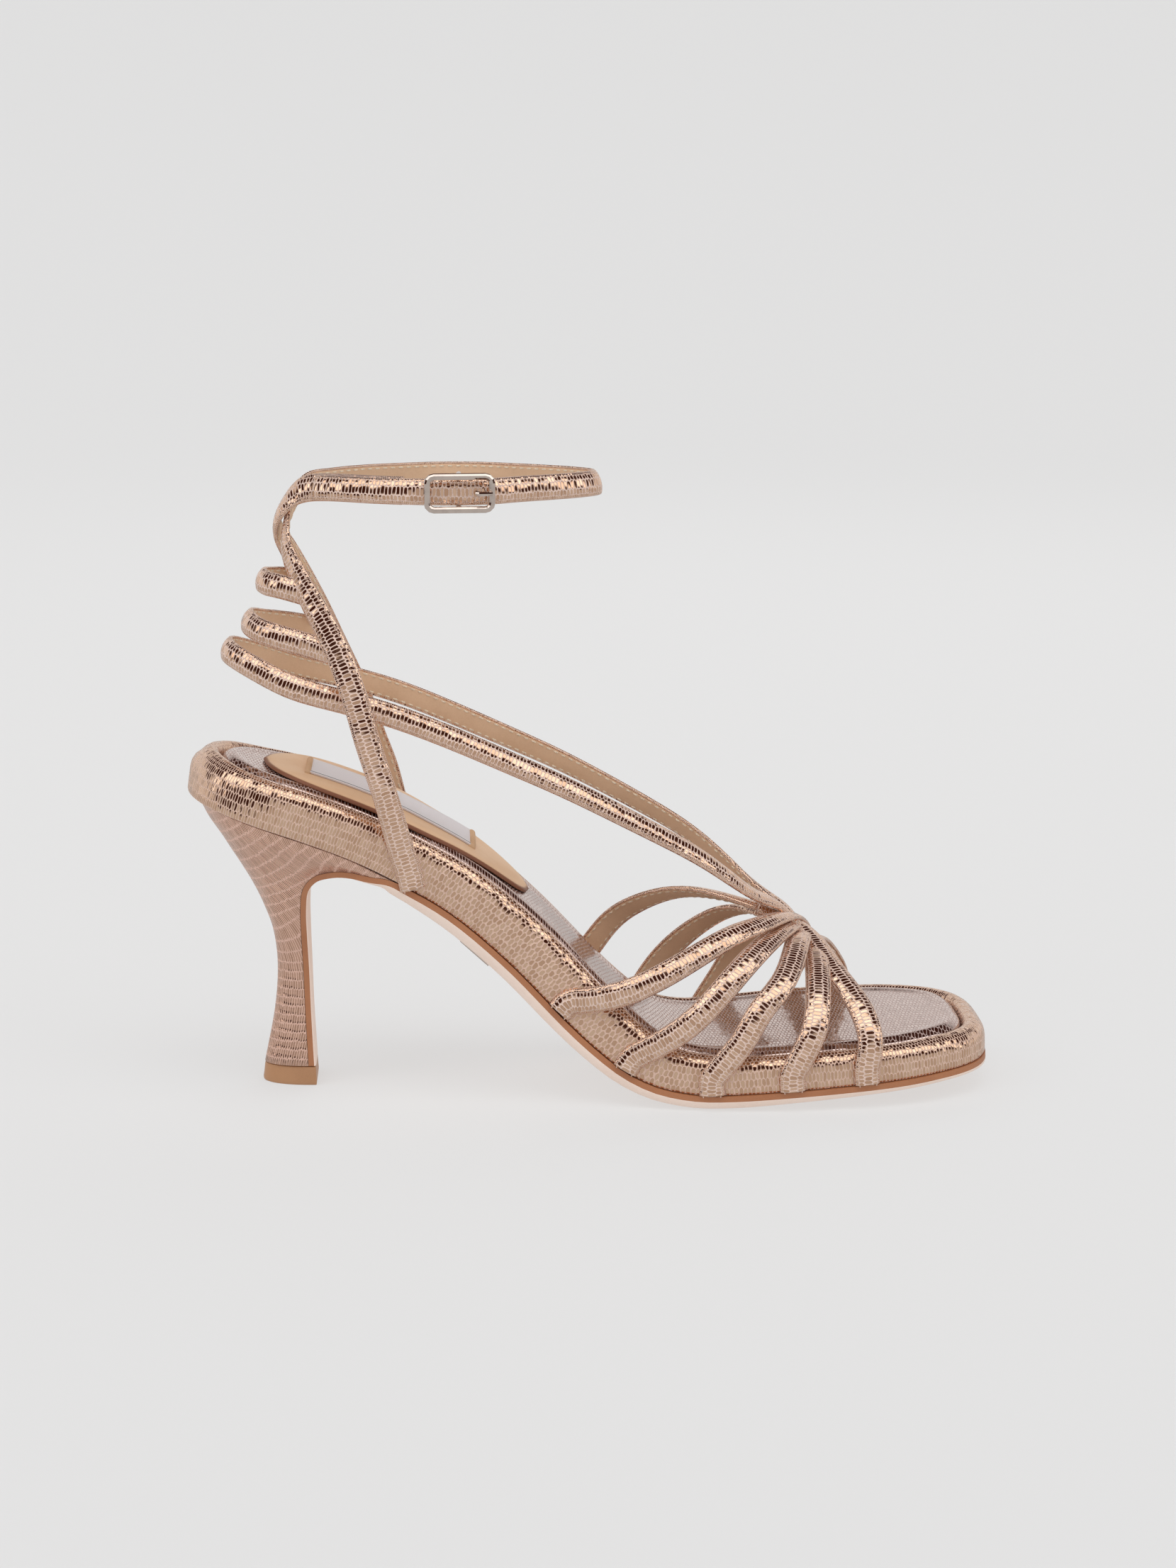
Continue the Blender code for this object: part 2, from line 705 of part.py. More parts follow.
def tongue_path():
    """Outer riser, crossing, round the inner side and the front, through the buckle to its end."""
    layer = ANKLE_STRAP_THICKNESS + GAP
    path = riser_foot(0.278, LATERAL) + free_path(OUTER_RISER, RISER_CENTRE)
    for row in ANKLE_RING[1:-1]:
        path.append(ankle_ring_point(row, MEDIAL))
    for row in ANKLE_RING[:BUCKLE_ROW + 1:-1]:
        path.append(ankle_ring_point(row, LATERAL))
    for row in ANKLE_RING[BUCKLE_ROW + 1:1:-1]:
        path.append(ankle_ring_point(row, LATERAL, layer))
    return path


def base_path():
    """Inner riser, crossing outside the other, and the outer side up to the buckle's bar."""
    path = riser_foot(0.268, MEDIAL) + free_path(INNER_RISER, RISER_CENTRE)
    for row in ANKLE_RING[1:BUCKLE_ROW - 1]:
        path.append(ankle_ring_point(row, LATERAL))
    return path


def build_upper(material, collection, cutters):
    """All the straps as one body."""
    bands = []
    for row in VAMP_STRAPS:
        bands.append(band(vamp_path(row), STRAP_WIDTH, STRAP_THICKNESS, 2))
    loops = ((mirrored_rows(LONG_STRAP, [INNER_END]), LONG_STRAP_CENTRE, LONG_STRAP_TURN),
             (mirrored_rows(MIDDLE_LOOP, MIDDLE_LOOP_END), LOOP_CENTRE, 1),
             (mirrored_rows(TOP_LOOP, TOP_LOOP_END), LOOP_CENTRE, 1))
    for rows, centre, turn in loops:
        bands.append(band(free_path(rows, centre, turn), LOOP_WIDTH, STRAP_THICKNESS, 2))
    bands.append(band(tongue_path(), STRAP_WIDTH, ANKLE_STRAP_THICKNESS, 2))
    bands.append(band(base_path(), ANKLE_STRAP_WIDTH, ANKLE_STRAP_THICKNESS, 2))
    upper = add_object("upper", bands[0], material, collection)
    for k, piece in enumerate(bands[1:]):
        cut(upper, add_object(f"strap_{k + 2}", piece, None, cutters), "UNION")
    knot = bmesh.new()
    bmesh.ops.create_uvsphere(knot, u_segments=14, v_segments=8, radius=0.5)
    bmesh.ops.scale(knot, verts=knot.verts, vec=(KNOT_LENGTH, KNOT_WIDTH, KNOT_HEIGHT))
    middle, _ = instep_point(KNOT_ALONG, 0, LATERAL)
    ahead, _ = instep_point(KNOT_ALONG + 0.05, 0, LATERAL)
    behind, _ = instep_point(KNOT_ALONG - 0.05, 0, LATERAL)
    tilt = math.atan2(behind.z - ahead.z, ahead.x - behind.x)
    roll = math.radians(5)
    turn = Matrix.Rotation(tilt, 3, "Y") @ Matrix.Rotation(roll, 3, "X")
    bmesh.ops.rotate(knot, verts=knot.verts, matrix=turn)
    sink = Vector((0, 0, KNOT_HEIGHT / 2 - STRAP_THICKNESS))
    bmesh.ops.translate(knot, verts=knot.verts, vec=middle - sink + Vector((0, GAP, 0)))
    cut(upper, add_object("knot", knot, None, cutters), "UNION")
    return upper


def buckle_frame_matrix():
    """Place and axes of the buckle: +X along the strap, +Y up its width, +Z outward."""
    low, _ = ankle_ring_point(ANKLE_RING[BUCKLE_ROW - 1], LATERAL)
    high, _ = ankle_ring_point(ANKLE_RING[BUCKLE_ROW + 1], LATERAL)
    middle, _ = ankle_ring_point(ANKLE_RING[BUCKLE_ROW], LATERAL)
    along = (high - low).normalized()
    up = Vector((0, 0, 1))
    turn = Matrix((along, up, along.cross(up))).transposed().to_4x4()
    return Matrix.Translation(middle) @ turn


def wire(name, points, radius, cyclic, smooth_sides):
    """Round bar along straight runs, as a mesh with welded caps."""
    curve = bpy.data.curves.new(name, "CURVE")
    curve.dimensions = "3D"
    curve.bevel_depth = radius
    curve.bevel_resolution = smooth_sides
    curve.use_fill_caps = True
    spline = curve.splines.new("POLY")
    spline.points.add(len(points) - 1)
    for target, point in zip(spline.points, points):
        target.co = (*point, 1)
    spline.use_cyclic_u = cyclic
    holder = bpy.data.objects.new(name, curve)
    bpy.context.scene.collection.objects.link(holder)
    bpy.context.view_layer.update()
    shape = holder.evaluated_get(bpy.context.evaluated_depsgraph_get())
    mesh = bpy.data.meshes.new_from_object(shape)
    bpy.data.objects.remove(holder, do_unlink=True)
    bm = bmesh.new()
    bm.from_mesh(mesh)
    bmesh.ops.remove_doubles(bm, verts=bm.verts, dist=0.01 * MM)
    return bm


def bar_level():
    """Height of the frame's bars over the ankle ring, clear of both layers of strap."""
    return 2 * ANKLE_STRAP_THICKNESS + 2 * GAP + BUCKLE_BAR


def build_buckle(material, collection, cutters):
    place = buckle_frame_matrix()
    long, high = BUCKLE_LENGTH / 2 - BUCKLE_BAR, BUCKLE_HEIGHT / 2 - BUCKLE_BAR
    level = bar_level()
    corners = []
    for quarter in range(4):
        for step in range(4):
            turn = math.pi / 2 * (quarter + step / 3)
            corner = 0.42 * high
            x = math.copysign(long - corner, math.cos(math.pi / 2 * (quarter + 0.5)))
            y = math.copysign(high - corner, math.sin(math.pi / 2 * (quarter + 0.5)))
            corners.append(Vector((x + corner * math.cos(turn), y + corner * math.sin(turn), level)))
    frame = add_object("buckle_frame", wire("frame", corners, BUCKLE_BAR, True, 3), material,
                       collection)
    side = ANKLE_STRAP_WIDTH / 2 + GAP + CENTRE_BAR
    low = ANKLE_STRAP_THICKNESS - CENTRE_BAR
    bar = [Vector((0, -high, level)), Vector((0, -side, low + CENTRE_BAR)),
           Vector((0, -side + CENTRE_BAR, low)), Vector((0, side - CENTRE_BAR, low)),
           Vector((0, side, low + CENTRE_BAR)), Vector((0, high, level))]
    centre = add_object("centre_bar", wire("centre", bar, CENTRE_BAR, False, 2), None, cutters)
    cut(frame, centre, "UNION")
    tip = BUCKLE_LENGTH / 2 - BUCKLE_BAR
    top = level + BUCKLE_BAR + PRONG_RADIUS + GAP
    hole = PRONG_HOLE * BUCKLE_LENGTH
    points = [Vector((CENTRE_BAR + PRONG_RADIUS, 0, low)),
              Vector((hole - PRONG_RADIUS, 0, low)), Vector((hole, 0, low + PRONG_RADIUS)),
              Vector((hole, 0, top - PRONG_RADIUS)), Vector((hole + PRONG_RADIUS, 0, top)),
              Vector((tip, 0, top))]
    prong = add_object("buckle_prong", wire("prong", points, PRONG_RADIUS, False, 2), material,
                       collection)
    for obj in (frame, centre, prong):
        obj.matrix_world = place


def cut_prong_hole(upper, cutters):
    """Hole in the tongue for the prong."""
    hole = bmesh.new()
    bmesh.ops.create_cone(hole, cap_ends=True, segments=12, radius1=PRONG_RADIUS + GAP * 2,
                          radius2=PRONG_RADIUS + GAP * 2, depth=ANKLE_STRAP_THICKNESS * 4)
    at = Vector((PRONG_HOLE * BUCKLE_LENGTH, 0, 1.5 * ANKLE_STRAP_THICKNESS + GAP))
    drill = add_object("prong_hole", hole, None, cutters)
    drill.matrix_world = buckle_frame_matrix() @ Matrix.Translation(at)
    cut(upper, drill)


def build_plate(material, collection):
    """Small plain plate on the belly of the waist."""
    x = along_to_x(PLATE_ALONG)
    sink = SOLE_EDGE + rung_value(x, 4) * SOLE_BELLY + GAP + PLATE_THICKNESS / 2
    plate = bmesh.new()
    bmesh.ops.create_cube(plate, size=1)
    size = (PLATE_LENGTH, PLATE_WIDTH, PLATE_THICKNESS)
    bmesh.ops.scale(plate, verts=plate.verts, vec=size)
    obj = add_object("waist_plate", plate, material, collection)
    obj.location = bend(x, PLATE_ASIDE, -sink)
    obj.rotation_euler = (0, -profile_slope(x), 0)


def paint(name, colour, roughness, metallic=0.0):
    material = bpy.data.materials.new(name)
    material.use_nodes = True
    shader = material.node_tree.nodes["Principled BSDF"]
    shader.inputs["Base Color"].default_value = (*colour, 1)
    shader.inputs["Roughness"].default_value = roughness
    shader.inputs["Metallic"].default_value = metallic
    material.diffuse_color = (*colour, 1)
    return material


def main():
    for obj in list(bpy.data.objects):
        bpy.data.objects.remove(obj, do_unlink=True)
    sandal = bpy.data.collections.new("strappy_heeled_sandal")
    cutters = bpy.data.collections.new("cutters")
    bpy.context.scene.collection.children.link(sandal)
    bpy.context.scene.collection.children.link(cutters)
    foil = paint("embossed_foil_leather", (0.55, 0.36, 0.27), 0.35, 0.6)
    edge = paint("sole_leather", (0.62, 0.36, 0.22), 0.5)
    tan = paint("sock_leather", (0.60, 0.40, 0.26), 0.55)
    woven = paint("woven_label", (0.72, 0.68, 0.70), 0.8)
    rubber = paint("top_piece_rubber", (0.42, 0.24, 0.14), 0.6)
    build_outsole(edge, sandal, cutters)
    build_heel(foil, sandal)
    build_top_piece(rubber, sandal)
    build_wrap(foil, sandal)
    build_pad(foil, sandal)
    build_sock(tan, sandal)
    build_label(woven, sandal)
    metal = paint("buckle_metal", (0.75, 0.70, 0.64), 0.2, 1.0)
    build_plate(metal, sandal)
    upper = build_upper(foil, sandal, cutters)
    cut_prong_hole(upper, cutters)
    build_buckle(metal, sandal, cutters)


main()
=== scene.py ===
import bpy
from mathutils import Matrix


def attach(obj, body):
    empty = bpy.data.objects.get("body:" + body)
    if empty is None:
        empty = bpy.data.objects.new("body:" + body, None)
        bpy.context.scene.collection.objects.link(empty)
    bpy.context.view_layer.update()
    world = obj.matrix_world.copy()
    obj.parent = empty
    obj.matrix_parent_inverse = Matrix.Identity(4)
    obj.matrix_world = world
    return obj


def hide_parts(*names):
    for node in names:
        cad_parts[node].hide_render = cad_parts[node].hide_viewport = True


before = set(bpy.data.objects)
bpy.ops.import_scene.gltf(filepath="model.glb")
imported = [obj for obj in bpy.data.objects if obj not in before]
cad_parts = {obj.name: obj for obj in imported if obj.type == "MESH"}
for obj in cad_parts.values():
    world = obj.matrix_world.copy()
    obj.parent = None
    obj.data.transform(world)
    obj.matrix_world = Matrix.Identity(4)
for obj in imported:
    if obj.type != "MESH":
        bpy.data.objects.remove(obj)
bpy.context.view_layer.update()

import math

import bmesh
import bpy
from mathutils import Vector


# Camera. The photograph looks at the outer side of a right shoe from a little above, with a
# long lens. +X is the toe, -Y the outer side, and lengths are in metres.
MM = 0.001
CAMERA_AZIMUTH = math.radians(-2.5)
CAMERA_ELEVATION = math.radians(11)
CAMERA_DISTANCE = 900 * MM
CAMERA_TARGET = Vector((-0.7, 0, 81)) * MM
CAMERA_LENS = 76.75
FILM_HEIGHT = 36

camera_data = bpy.data.cameras.new("camera")
camera_data.sensor_fit = "VERTICAL"
camera_data.sensor_height = FILM_HEIGHT
camera_data.lens = CAMERA_LENS
camera = bpy.data.objects.new("camera", camera_data)
bpy.context.scene.collection.objects.link(camera)
towards_camera = Vector((math.sin(CAMERA_AZIMUTH) * math.cos(CAMERA_ELEVATION),
                         -math.cos(CAMERA_AZIMUTH) * math.cos(CAMERA_ELEVATION),
                         math.sin(CAMERA_ELEVATION)))
camera.location = CAMERA_TARGET + towards_camera * CAMERA_DISTANCE
camera.rotation_euler = towards_camera.to_track_quat("Z", "Y").to_euler()
bpy.context.scene.camera = camera
bpy.context.scene.view_settings.view_transform = "Standard"


# Studio. A pale floor turns up into a round pale wall, with soft boxes over the shoe. The
# foil mirrors a light room with one dark side, which the world's sky holds.
WALL_RADIUS = 2.6
WALL_TURN = 0.9
WALL_HEIGHT = 3.2
WALL_SIDES = 64
TURN_STEPS = 12
FLOOR_COLOUR = (0.26, 0.26, 0.26)
FLOOR_GLOW = 0.525
DARK_SIDE = (1, 0.34, 0.22)
LIGHT_SIDE = (1, 0.985, 0.965)
ROOM_GLOW = 0.055

# Bands of light that the foil mirrors: where each starts and where it is reached, in degrees
# from the front over the top to the back, and its strength before and after
MIRRORED_FLOOR = (28, 22, 0, 0.55)
STRIP_START = (49, 54, 0, 1.6)
STRIP_END = (88, 84, 0, 1)
MIRRORED_WALL = (136, 156, 0, 0.78)

# Towards the heel the mirrored floor sinks: beyond which direction, and by how many degrees
FLOOR_SINKS_FROM = 0.4
FLOOR_SINKS_BY = 60.0


def link(thing):
    bpy.context.scene.collection.objects.link(thing)
    return thing


def feed(tree, made, **inputs):
    """Set or link a node's inputs, given by name or, as i0, i1 and so on, by place."""
    for name, value in inputs.items():
        socket = made.inputs[int(name[1:]) if name[1:].isdigit() else name.replace("_", " ")]
        value = getattr(value, "socket", value)
        if isinstance(value, bpy.types.NodeSocket):
            tree.links.new(value, socket)
        elif socket.type == "RGBA":
            socket.default_value = (*value, 1)
        else:
            socket.default_value = value
    return made


def node(tree, kind, settings=(), **inputs):
    made = tree.nodes.new(kind)
    for name, value in dict(settings).items():
        setattr(made, name, value)
    return feed(tree, made, **inputs)


class Number:
    """A number in a shader tree, so that sums with it can be written as plain sums."""

    def __init__(self, tree, socket):
        self.tree, self.socket = tree, socket

    def do(self, operation, other=0.0):
        made = node(self.tree, "ShaderNodeMath", {"operation": operation}, i0=self, i1=other)
        return Number(self.tree, made.outputs[0])

    def __add__(self, other):
        return self.do("ADD", other)

    def __sub__(self, other):
        return self.do("SUBTRACT", other)

    def __mul__(self, other):
        return self.do("MULTIPLY", other)

    def __truediv__(self, other):
        return self.do("DIVIDE", other)

    def __pow__(self, other):
        return self.do("POWER", other)

    def __abs__(self):
        return self.do("ABSOLUTE")

    def ramp(self, start, end, low=0.0, high=1.0):
        """Smooth change from low to high as the number goes from start to end."""
        made = node(self.tree, "ShaderNodeMapRange", {"interpolation_type": "SMOOTHSTEP"},
                    Value=self, From_Min=start, From_Max=end, To_Min=low, To_Max=high)
        return Number(self.tree, made.outputs["Result"])

    def mix(self, first, second):
        """Colour that goes from first to second as the number goes from 0 to 1."""
        made = node(self.tree, "ShaderNodeMix", {"data_type": "RGBA"}, Factor=self, i6=first,
                    i7=second)
        return made.outputs[2]


def noise(tree, scale, detail):
    """Noise over the piece's own Object coordinates."""
    place = node(tree, "ShaderNodeTexCoord").outputs["Object"]
    made = node(tree, "ShaderNodeTexNoise", Vector=place, Scale=scale, Detail=detail)
    return Number(tree, made.outputs[0])


def cells_map(tree):
    return node(tree, "ShaderNodeUVMap", {"uv_map": "cells"}).outputs[0]


def split(tree, vector):
    made = node(tree, "ShaderNodeSeparateXYZ", Vector=vector)
    return [Number(tree, part) for part in made.outputs]


def material(name):
    """A new material with its tree and its Principled shader."""
    made = bpy.data.materials.new(name)
    made.use_nodes = True
    return made, made.node_tree, made.node_tree.nodes["Principled BSDF"]


def emboss(tree, shader, height, strength, depth):
    """Relief of a material from a height, given as a share of the depth."""
    bump = node(tree, "ShaderNodeBump", Strength=strength, Distance=depth, Height=height)
    tree.links.new(bump.outputs[0], shader.inputs["Normal"])


def build_studio_bowl():
    turns = [math.pi / 2 * step / TURN_STEPS for step in range(TURN_STEPS + 1)]
    profile = [(WALL_RADIUS - WALL_TURN + WALL_TURN * math.sin(turn),
                WALL_TURN - WALL_TURN * math.cos(turn)) for turn in turns]
    profile.append((WALL_RADIUS, WALL_HEIGHT))
    bm = bmesh.new()
    centre = bm.verts.new((0, 0, 0))
    sides = [2 * math.pi * k / WALL_SIDES for k in range(WALL_SIDES)]
    rings = [[bm.verts.new((radius * math.cos(side), radius * math.sin(side), height))
              for side in sides] for radius, height in profile]
    for k in range(WALL_SIDES):
        after = (k + 1) % WALL_SIDES
        bm.faces.new((centre, rings[0][k], rings[0][after]))
        for low, high in zip(rings, rings[1:]):
            bm.faces.new((low[k], high[k], high[after], low[after]))
    mesh = bpy.data.meshes.new("studio_floor")
    bm.to_mesh(mesh)
    bm.free()
    mesh.shade_smooth()
    floor = link(bpy.data.objects.new("studio_floor", mesh))
    paper, tree, shader = material("pale_paper")
    feed(tree, shader, Base_Color=FLOOR_COLOUR, Roughness=0.9, Specular_IOR_Level=0.1,
         Emission_Color=(1, 1, 1), Emission_Strength=FLOOR_GLOW)
    mesh.materials.append(paper)
    floor.visible_glossy = False


def build_sky():
    """What the foil mirrors, in bands of angle from the front over the top to the back: the
    floor, a dark room, one long strip light, a dark ceiling and the pale wall behind."""
    world = bpy.data.worlds.new("studio")
    bpy.context.scene.world = world
    world.use_nodes = True
    tree = world.node_tree
    x, y, z = split(tree, node(tree, "ShaderNodeTexCoord").outputs["Generated"])
    angle = z.do("ARCTAN2", y * -1) * (180 / math.pi)
    sunk = (x * -1 - FLOOR_SINKS_FROM).do("MAXIMUM", 0) * FLOOR_SINKS_BY
    floor = (angle + sunk).ramp(*MIRRORED_FLOOR)
    strip = angle.ramp(*STRIP_START) * angle.ramp(*STRIP_END)
    light = floor.do("MAXIMUM", strip).do("MAXIMUM", angle.ramp(*MIRRORED_WALL))
    feed(tree, tree.nodes["Background"], Strength=light.do("MAXIMUM", ROOM_GLOW),
         Color=light.ramp(0, 0.3).mix(DARK_SIDE, LIGHT_SIDE))


def soft_box(name, place, size, power):
    data = bpy.data.lights.new(name, "AREA")
    data.shape = "RECTANGLE"
    data.size, data.size_y = size
    data.energy = power
    box = link(bpy.data.objects.new(name, data))
    box.location = place
    box.visible_glossy = False
    aim = Vector(place) - Vector((0, 0, 0.06))
    box.rotation_euler = aim.to_track_quat("Z", "Y").to_euler()


build_studio_bowl()
build_sky()
soft_box("box_above", (-0.1, -0.15, 1.5), (1.2, 1.2), 3.5)
soft_box("box_left", (-1.2, -0.6, 0.8), (0.8, 1.0), 2.5)
soft_box("box_right", (1.1, -0.7, 0.7), (0.8, 0.8), 1.5)
soft_box("box_behind", (0.3, 1.1, 0.9), (1.2, 0.8), 2)


# Outsole. One sheet of pale leather runs down the heel's breast and along under the foot. Its
# edge is cut square, stained brown and burnished, and its belly is slightly rounded.
SOLE_LENGTH = 215.5 * MM
BALL_WIDTH = 76 * MM
HEEL_LIFT = 76.3 * MM
TOE_SPRING = 4.2 * MM
FOREFOOT_LEVEL = 4.1 * MM
SOLE_EDGE = 1.5 * MM
SOLE_SQUARE = 0.8
SOLE_BELLY = 2.7 * MM
SOLE_PROUD = 0.7 * MM
HEEL_BACK = -(SOLE_LENGTH + SOLE_PROUD) / 2
HEEL_SEAT_WIDTH = 56 * MM
GAP = 0.3 * MM
OUTER = -1
INNER = 1

# Profile of the sole's upper face: along, lift of the heel, spring of the toe
PROFILE = [
    (0.000, 1.003, 0.0), (0.070, 0.948, 0.0), (0.139, 0.889, 0.0), (0.207, 0.816, 0.0),
    (0.260, 0.739, 0.0), (0.328, 0.618, 0.0), (0.397, 0.446, 0.0), (0.467, 0.240, 0.0),
    (0.502, 0.148, 0.0), (0.536, 0.075, 0.0), (0.571, 0.028, 0.0), (0.606, 0.006, 0.0),
    (0.641, 0.000, 0.0), (0.745, 0.000, 0.3), (0.850, 0.000, 0.6), (0.925, 0.000, 0.83),
    (1.000, 0.000, 1.0),
]

# Outline of the last: along, outer and inner half width, rim height, belly of the sole
OUTLINE = [
    (0.000, 0.000, 0.000, 1.12, 0.60), (0.010, 0.138, 0.138, 1.11, 0.60),
    (0.035, 0.250, 0.250, 1.06, 0.60), (0.073, 0.329, 0.329, 1.00, 0.60),
    (0.124, 0.372, 0.369, 1.00, 0.60), (0.218, 0.380, 0.355, 1.00, 0.60),
    (0.311, 0.362, 0.310, 1.03, 1.15), (0.405, 0.360, 0.282, 1.05, 1.15),
    (0.499, 0.398, 0.290, 1.02, 1.10), (0.592, 0.459, 0.366, 0.88, 1.10),
    (0.686, 0.497, 0.456, 0.77, 1.08), (0.780, 0.490, 0.498, 0.74, 0.90),
    (0.874, 0.447, 0.487, 0.73, 0.72), (0.934, 0.372, 0.425, 0.73, 0.60),
    (0.975, 0.275, 0.335, 0.72, 0.50), (0.996, 0.150, 0.205, 0.72, 0.50),
    (1.000, 0.000, 0.000, 0.72, 0.50),
]

# Heel from seat to top piece: breast along and lift, back along and lift, half width,
# squareness of the back, hold on the seat's own outline, belly of the sole on the breast
HEEL = [
    (0.260, 0.739, 0.0070, 1.000, 1.000, 4.0, 1.0, 0.95),
    (0.236, 0.713, 0.0140, 0.960, 0.980, 3.8, 0.7, 0.40),
    (0.206, 0.753, 0.0245, 0.903, 0.930, 3.5, 0.3, 0.10),
    (0.180, 0.767, 0.0455, 0.836, 0.860, 3.2, 0.0, 0.05),
    (0.158, 0.741, 0.0620, 0.760, 0.740, 3.0, 0.0, 0.05),
    (0.1435, 0.683, 0.0785, 0.678, 0.590, 2.8, 0.0, 0.10),
    (0.1395, 0.595, 0.0920, 0.593, 0.440, 2.6, 0.0, 0.15),
    (0.1395, 0.496, 0.1035, 0.494, 0.320, 2.4, 0.0, 0.18),
    (0.1410, 0.364, 0.1080, 0.365, 0.225, 2.2, 0.0, 0.20),
    (0.1425, 0.207, 0.1035, 0.208, 0.215, 2.2, 0.0, 0.20),
    (0.1455, 0.016, 0.0900, 0.016, 0.255, 2.2, 0.0, 0.20),
]

# Section of the sole under its edge: share of the half width, share of the belly's depth
BELLY_SHAPE = [(1.0, 0.0), (0.995, 0.22), (0.98, 0.5), (0.955, 0.72), (0.90, 0.9), (0.70, 1.0)]


def hermite(rows, column, where):
    """Smooth value of a table's column at a place along its first column."""
    keys = [row[0] for row in rows]
    where = min(max(where, keys[0]), keys[-1])
    last = len(rows) - 2
    index = next((k for k in range(last) if where <= keys[k + 1]), last)

    def slope(k):
        before, after = max(k - 1, 0), min(k + 1, len(rows) - 1)
        return (rows[after][column] - rows[before][column]) / (keys[after] - keys[before])

    span = keys[index + 1] - keys[index]
    t = (where - keys[index]) / span
    start, end = rows[index][column], rows[index + 1][column]
    return ((2 * t**3 - 3 * t**2 + 1) * start + (t**3 - 2 * t**2 + t) * span * slope(index)
            + (3 * t**2 - 2 * t**3) * end + (t**3 - t**2) * span * slope(index + 1))


def between(a, b, c, d, t):
    """Value between b and c on the smooth run through four values."""
    return 0.5 * (2 * b + (c - a) * t + (2 * a - 5 * b + 4 * c - d) * t**2
                  + (3 * b - a - 3 * c + d) * t**3)


def steered_rows(rows, steps):
    """Smooth rows through a table, with a number of steps for each stretch. The first and the
    last row only steer the run."""
    run = []
    for k in range(1, len(rows) - 2):
        for step in range(steps):
            run.append([between(*column, step / steps) for column in zip(*rows[k - 1:k + 3])])
    return run + [list(rows[-2])]


def smooth_rows(rows, steps):
    first = [2 * a - b for a, b in zip(rows[0], rows[1])]
    last = [2 * a - b for a, b in zip(rows[-1], rows[-2])]
    return steered_rows([first] + rows + [last], steps)


def smooth_run(points, steps):
    return [Vector(row) for row in smooth_rows(points, steps)]


def along_to_x(along):
    return HEEL_BACK + along * SOLE_LENGTH


def x_to_along(x):
    return (x - HEEL_BACK) / SOLE_LENGTH


def profile_height(x):
    return (FOREFOOT_LEVEL + HEEL_LIFT * hermite(PROFILE, 1, x_to_along(x))
            + TOE_SPRING * hermite(PROFILE, 2, x_to_along(x)))


def profile_slope(x):
    reach = 1 * MM
    return math.atan2(profile_height(x + reach) - profile_height(x - reach), 2 * reach)


def bend(x, y, rise):
    """Point at a height above the sole's upper face, square to the profile."""
    slope = profile_slope(x)
    return Vector((x - rise * math.sin(slope), y, profile_height(x) + rise * math.cos(slope)))


def outline_rungs(count):
    """Places along the last as x, outer and inner half width, rim height and belly."""
    heel = (OUTLINE[1][0], -OUTLINE[1][1], -OUTLINE[1][2]) + OUTLINE[1][3:]
    toe = (OUTLINE[-2][0], -OUTLINE[-2][1], -OUTLINE[-2][2]) + OUTLINE[-2][3:]
    return [(along_to_x(a), out * BALL_WIDTH, inn * BALL_WIDTH, rim, belly)
            for a, out, inn, rim, belly in steered_rows([heel] + OUTLINE + [toe], count)]


RUNGS = outline_rungs(6)


def rung_value(x, column):
    """Value of the outline at a place along the shoe."""
    if x <= RUNGS[0][0]:
        return RUNGS[0][column]
    for low, high in zip(RUNGS, RUNGS[1:]):
        if low[0] <= x <= high[0]:
            share = (x - low[0]) / (high[0] - low[0])
            return low[column] + (high[column] - low[column]) * share
    return RUNGS[-1][column]


def half_width(x, side):
    return rung_value(x, 1 if side == OUTER else 2)


def heel_ring(row, count):
    """U-shaped ring of the heel, from the outer end of its breast round the back."""
    front, front_lift, back, back_lift, wide, square, hold, _ = row
    front_x, back_x = along_to_x(front), along_to_x(back)
    front_z, back_z = (FOREFOOT_LEVEL + HEEL_LIFT * lift for lift in (front_lift, back_lift))
    seat_front = along_to_x(HEEL[0][0])
    ring = []
    for k in range(count + 1):
        turn = math.pi * k / count
        share = math.sin(turn) ** (2 / square)
        side = OUTER if math.cos(turn) > 0 else INNER
        x = front_x + (back_x - front_x) * share
        seat = half_width(seat_front + (HEEL_BACK - seat_front) * share, side)
        free = wide * HEEL_SEAT_WIDTH / 2 * abs(math.cos(turn))
        level = front_z + (back_z - front_z) * share
        ring.append(Vector((x, side * (hold * seat + (1 - hold) * free),
                            hold * profile_height(x) + (1 - hold) * level)))
    return ring


def skin(name, rings, marks, caps="", looks=(), faces_look=None):
    """Mesh piece from closed rings of points, with a UV mark for each point, in pattern cells,
    and one more for the way back to the first. Caps closes the start and end by a ladder."""
    bm = bmesh.new()
    layer = bm.loops.layers.uv.new("cells")
    verts = [[bm.verts.new(point) for point in ring] for ring in rings]
    count = len(rings[0])
    for r, (low, high) in enumerate(zip(verts, verts[1:])):
        for k in range(count):
            after = (k + 1) % count
            face = bm.faces.new((low[k], low[after], high[after], high[k]))
            spots = (marks[r][k], marks[r][k + 1], marks[r + 1][k + 1], marks[r + 1][k])
            for loop, spot in zip(face.loops, spots):
                loop[layer].uv = spot
            if faces_look is not None:
                face.material_index = faces_look(r, k)
    for end, ring, row in (("start", verts[0], marks[0]), ("end", verts[-1], marks[-1])):
        if end in caps:
            close_ring(bm, layer, ring, row)
    bmesh.ops.recalc_face_normals(bm, faces=bm.faces)
    mesh = bpy.data.meshes.new(name)
    bm.to_mesh(mesh)
    bm.free()
    mesh.shade_smooth()
    mesh.set_sharp_from_angle(angle=math.radians(50))
    piece = link(bpy.data.objects.new(name, mesh))
    for look in looks:
        mesh.materials.append(look)
    return piece


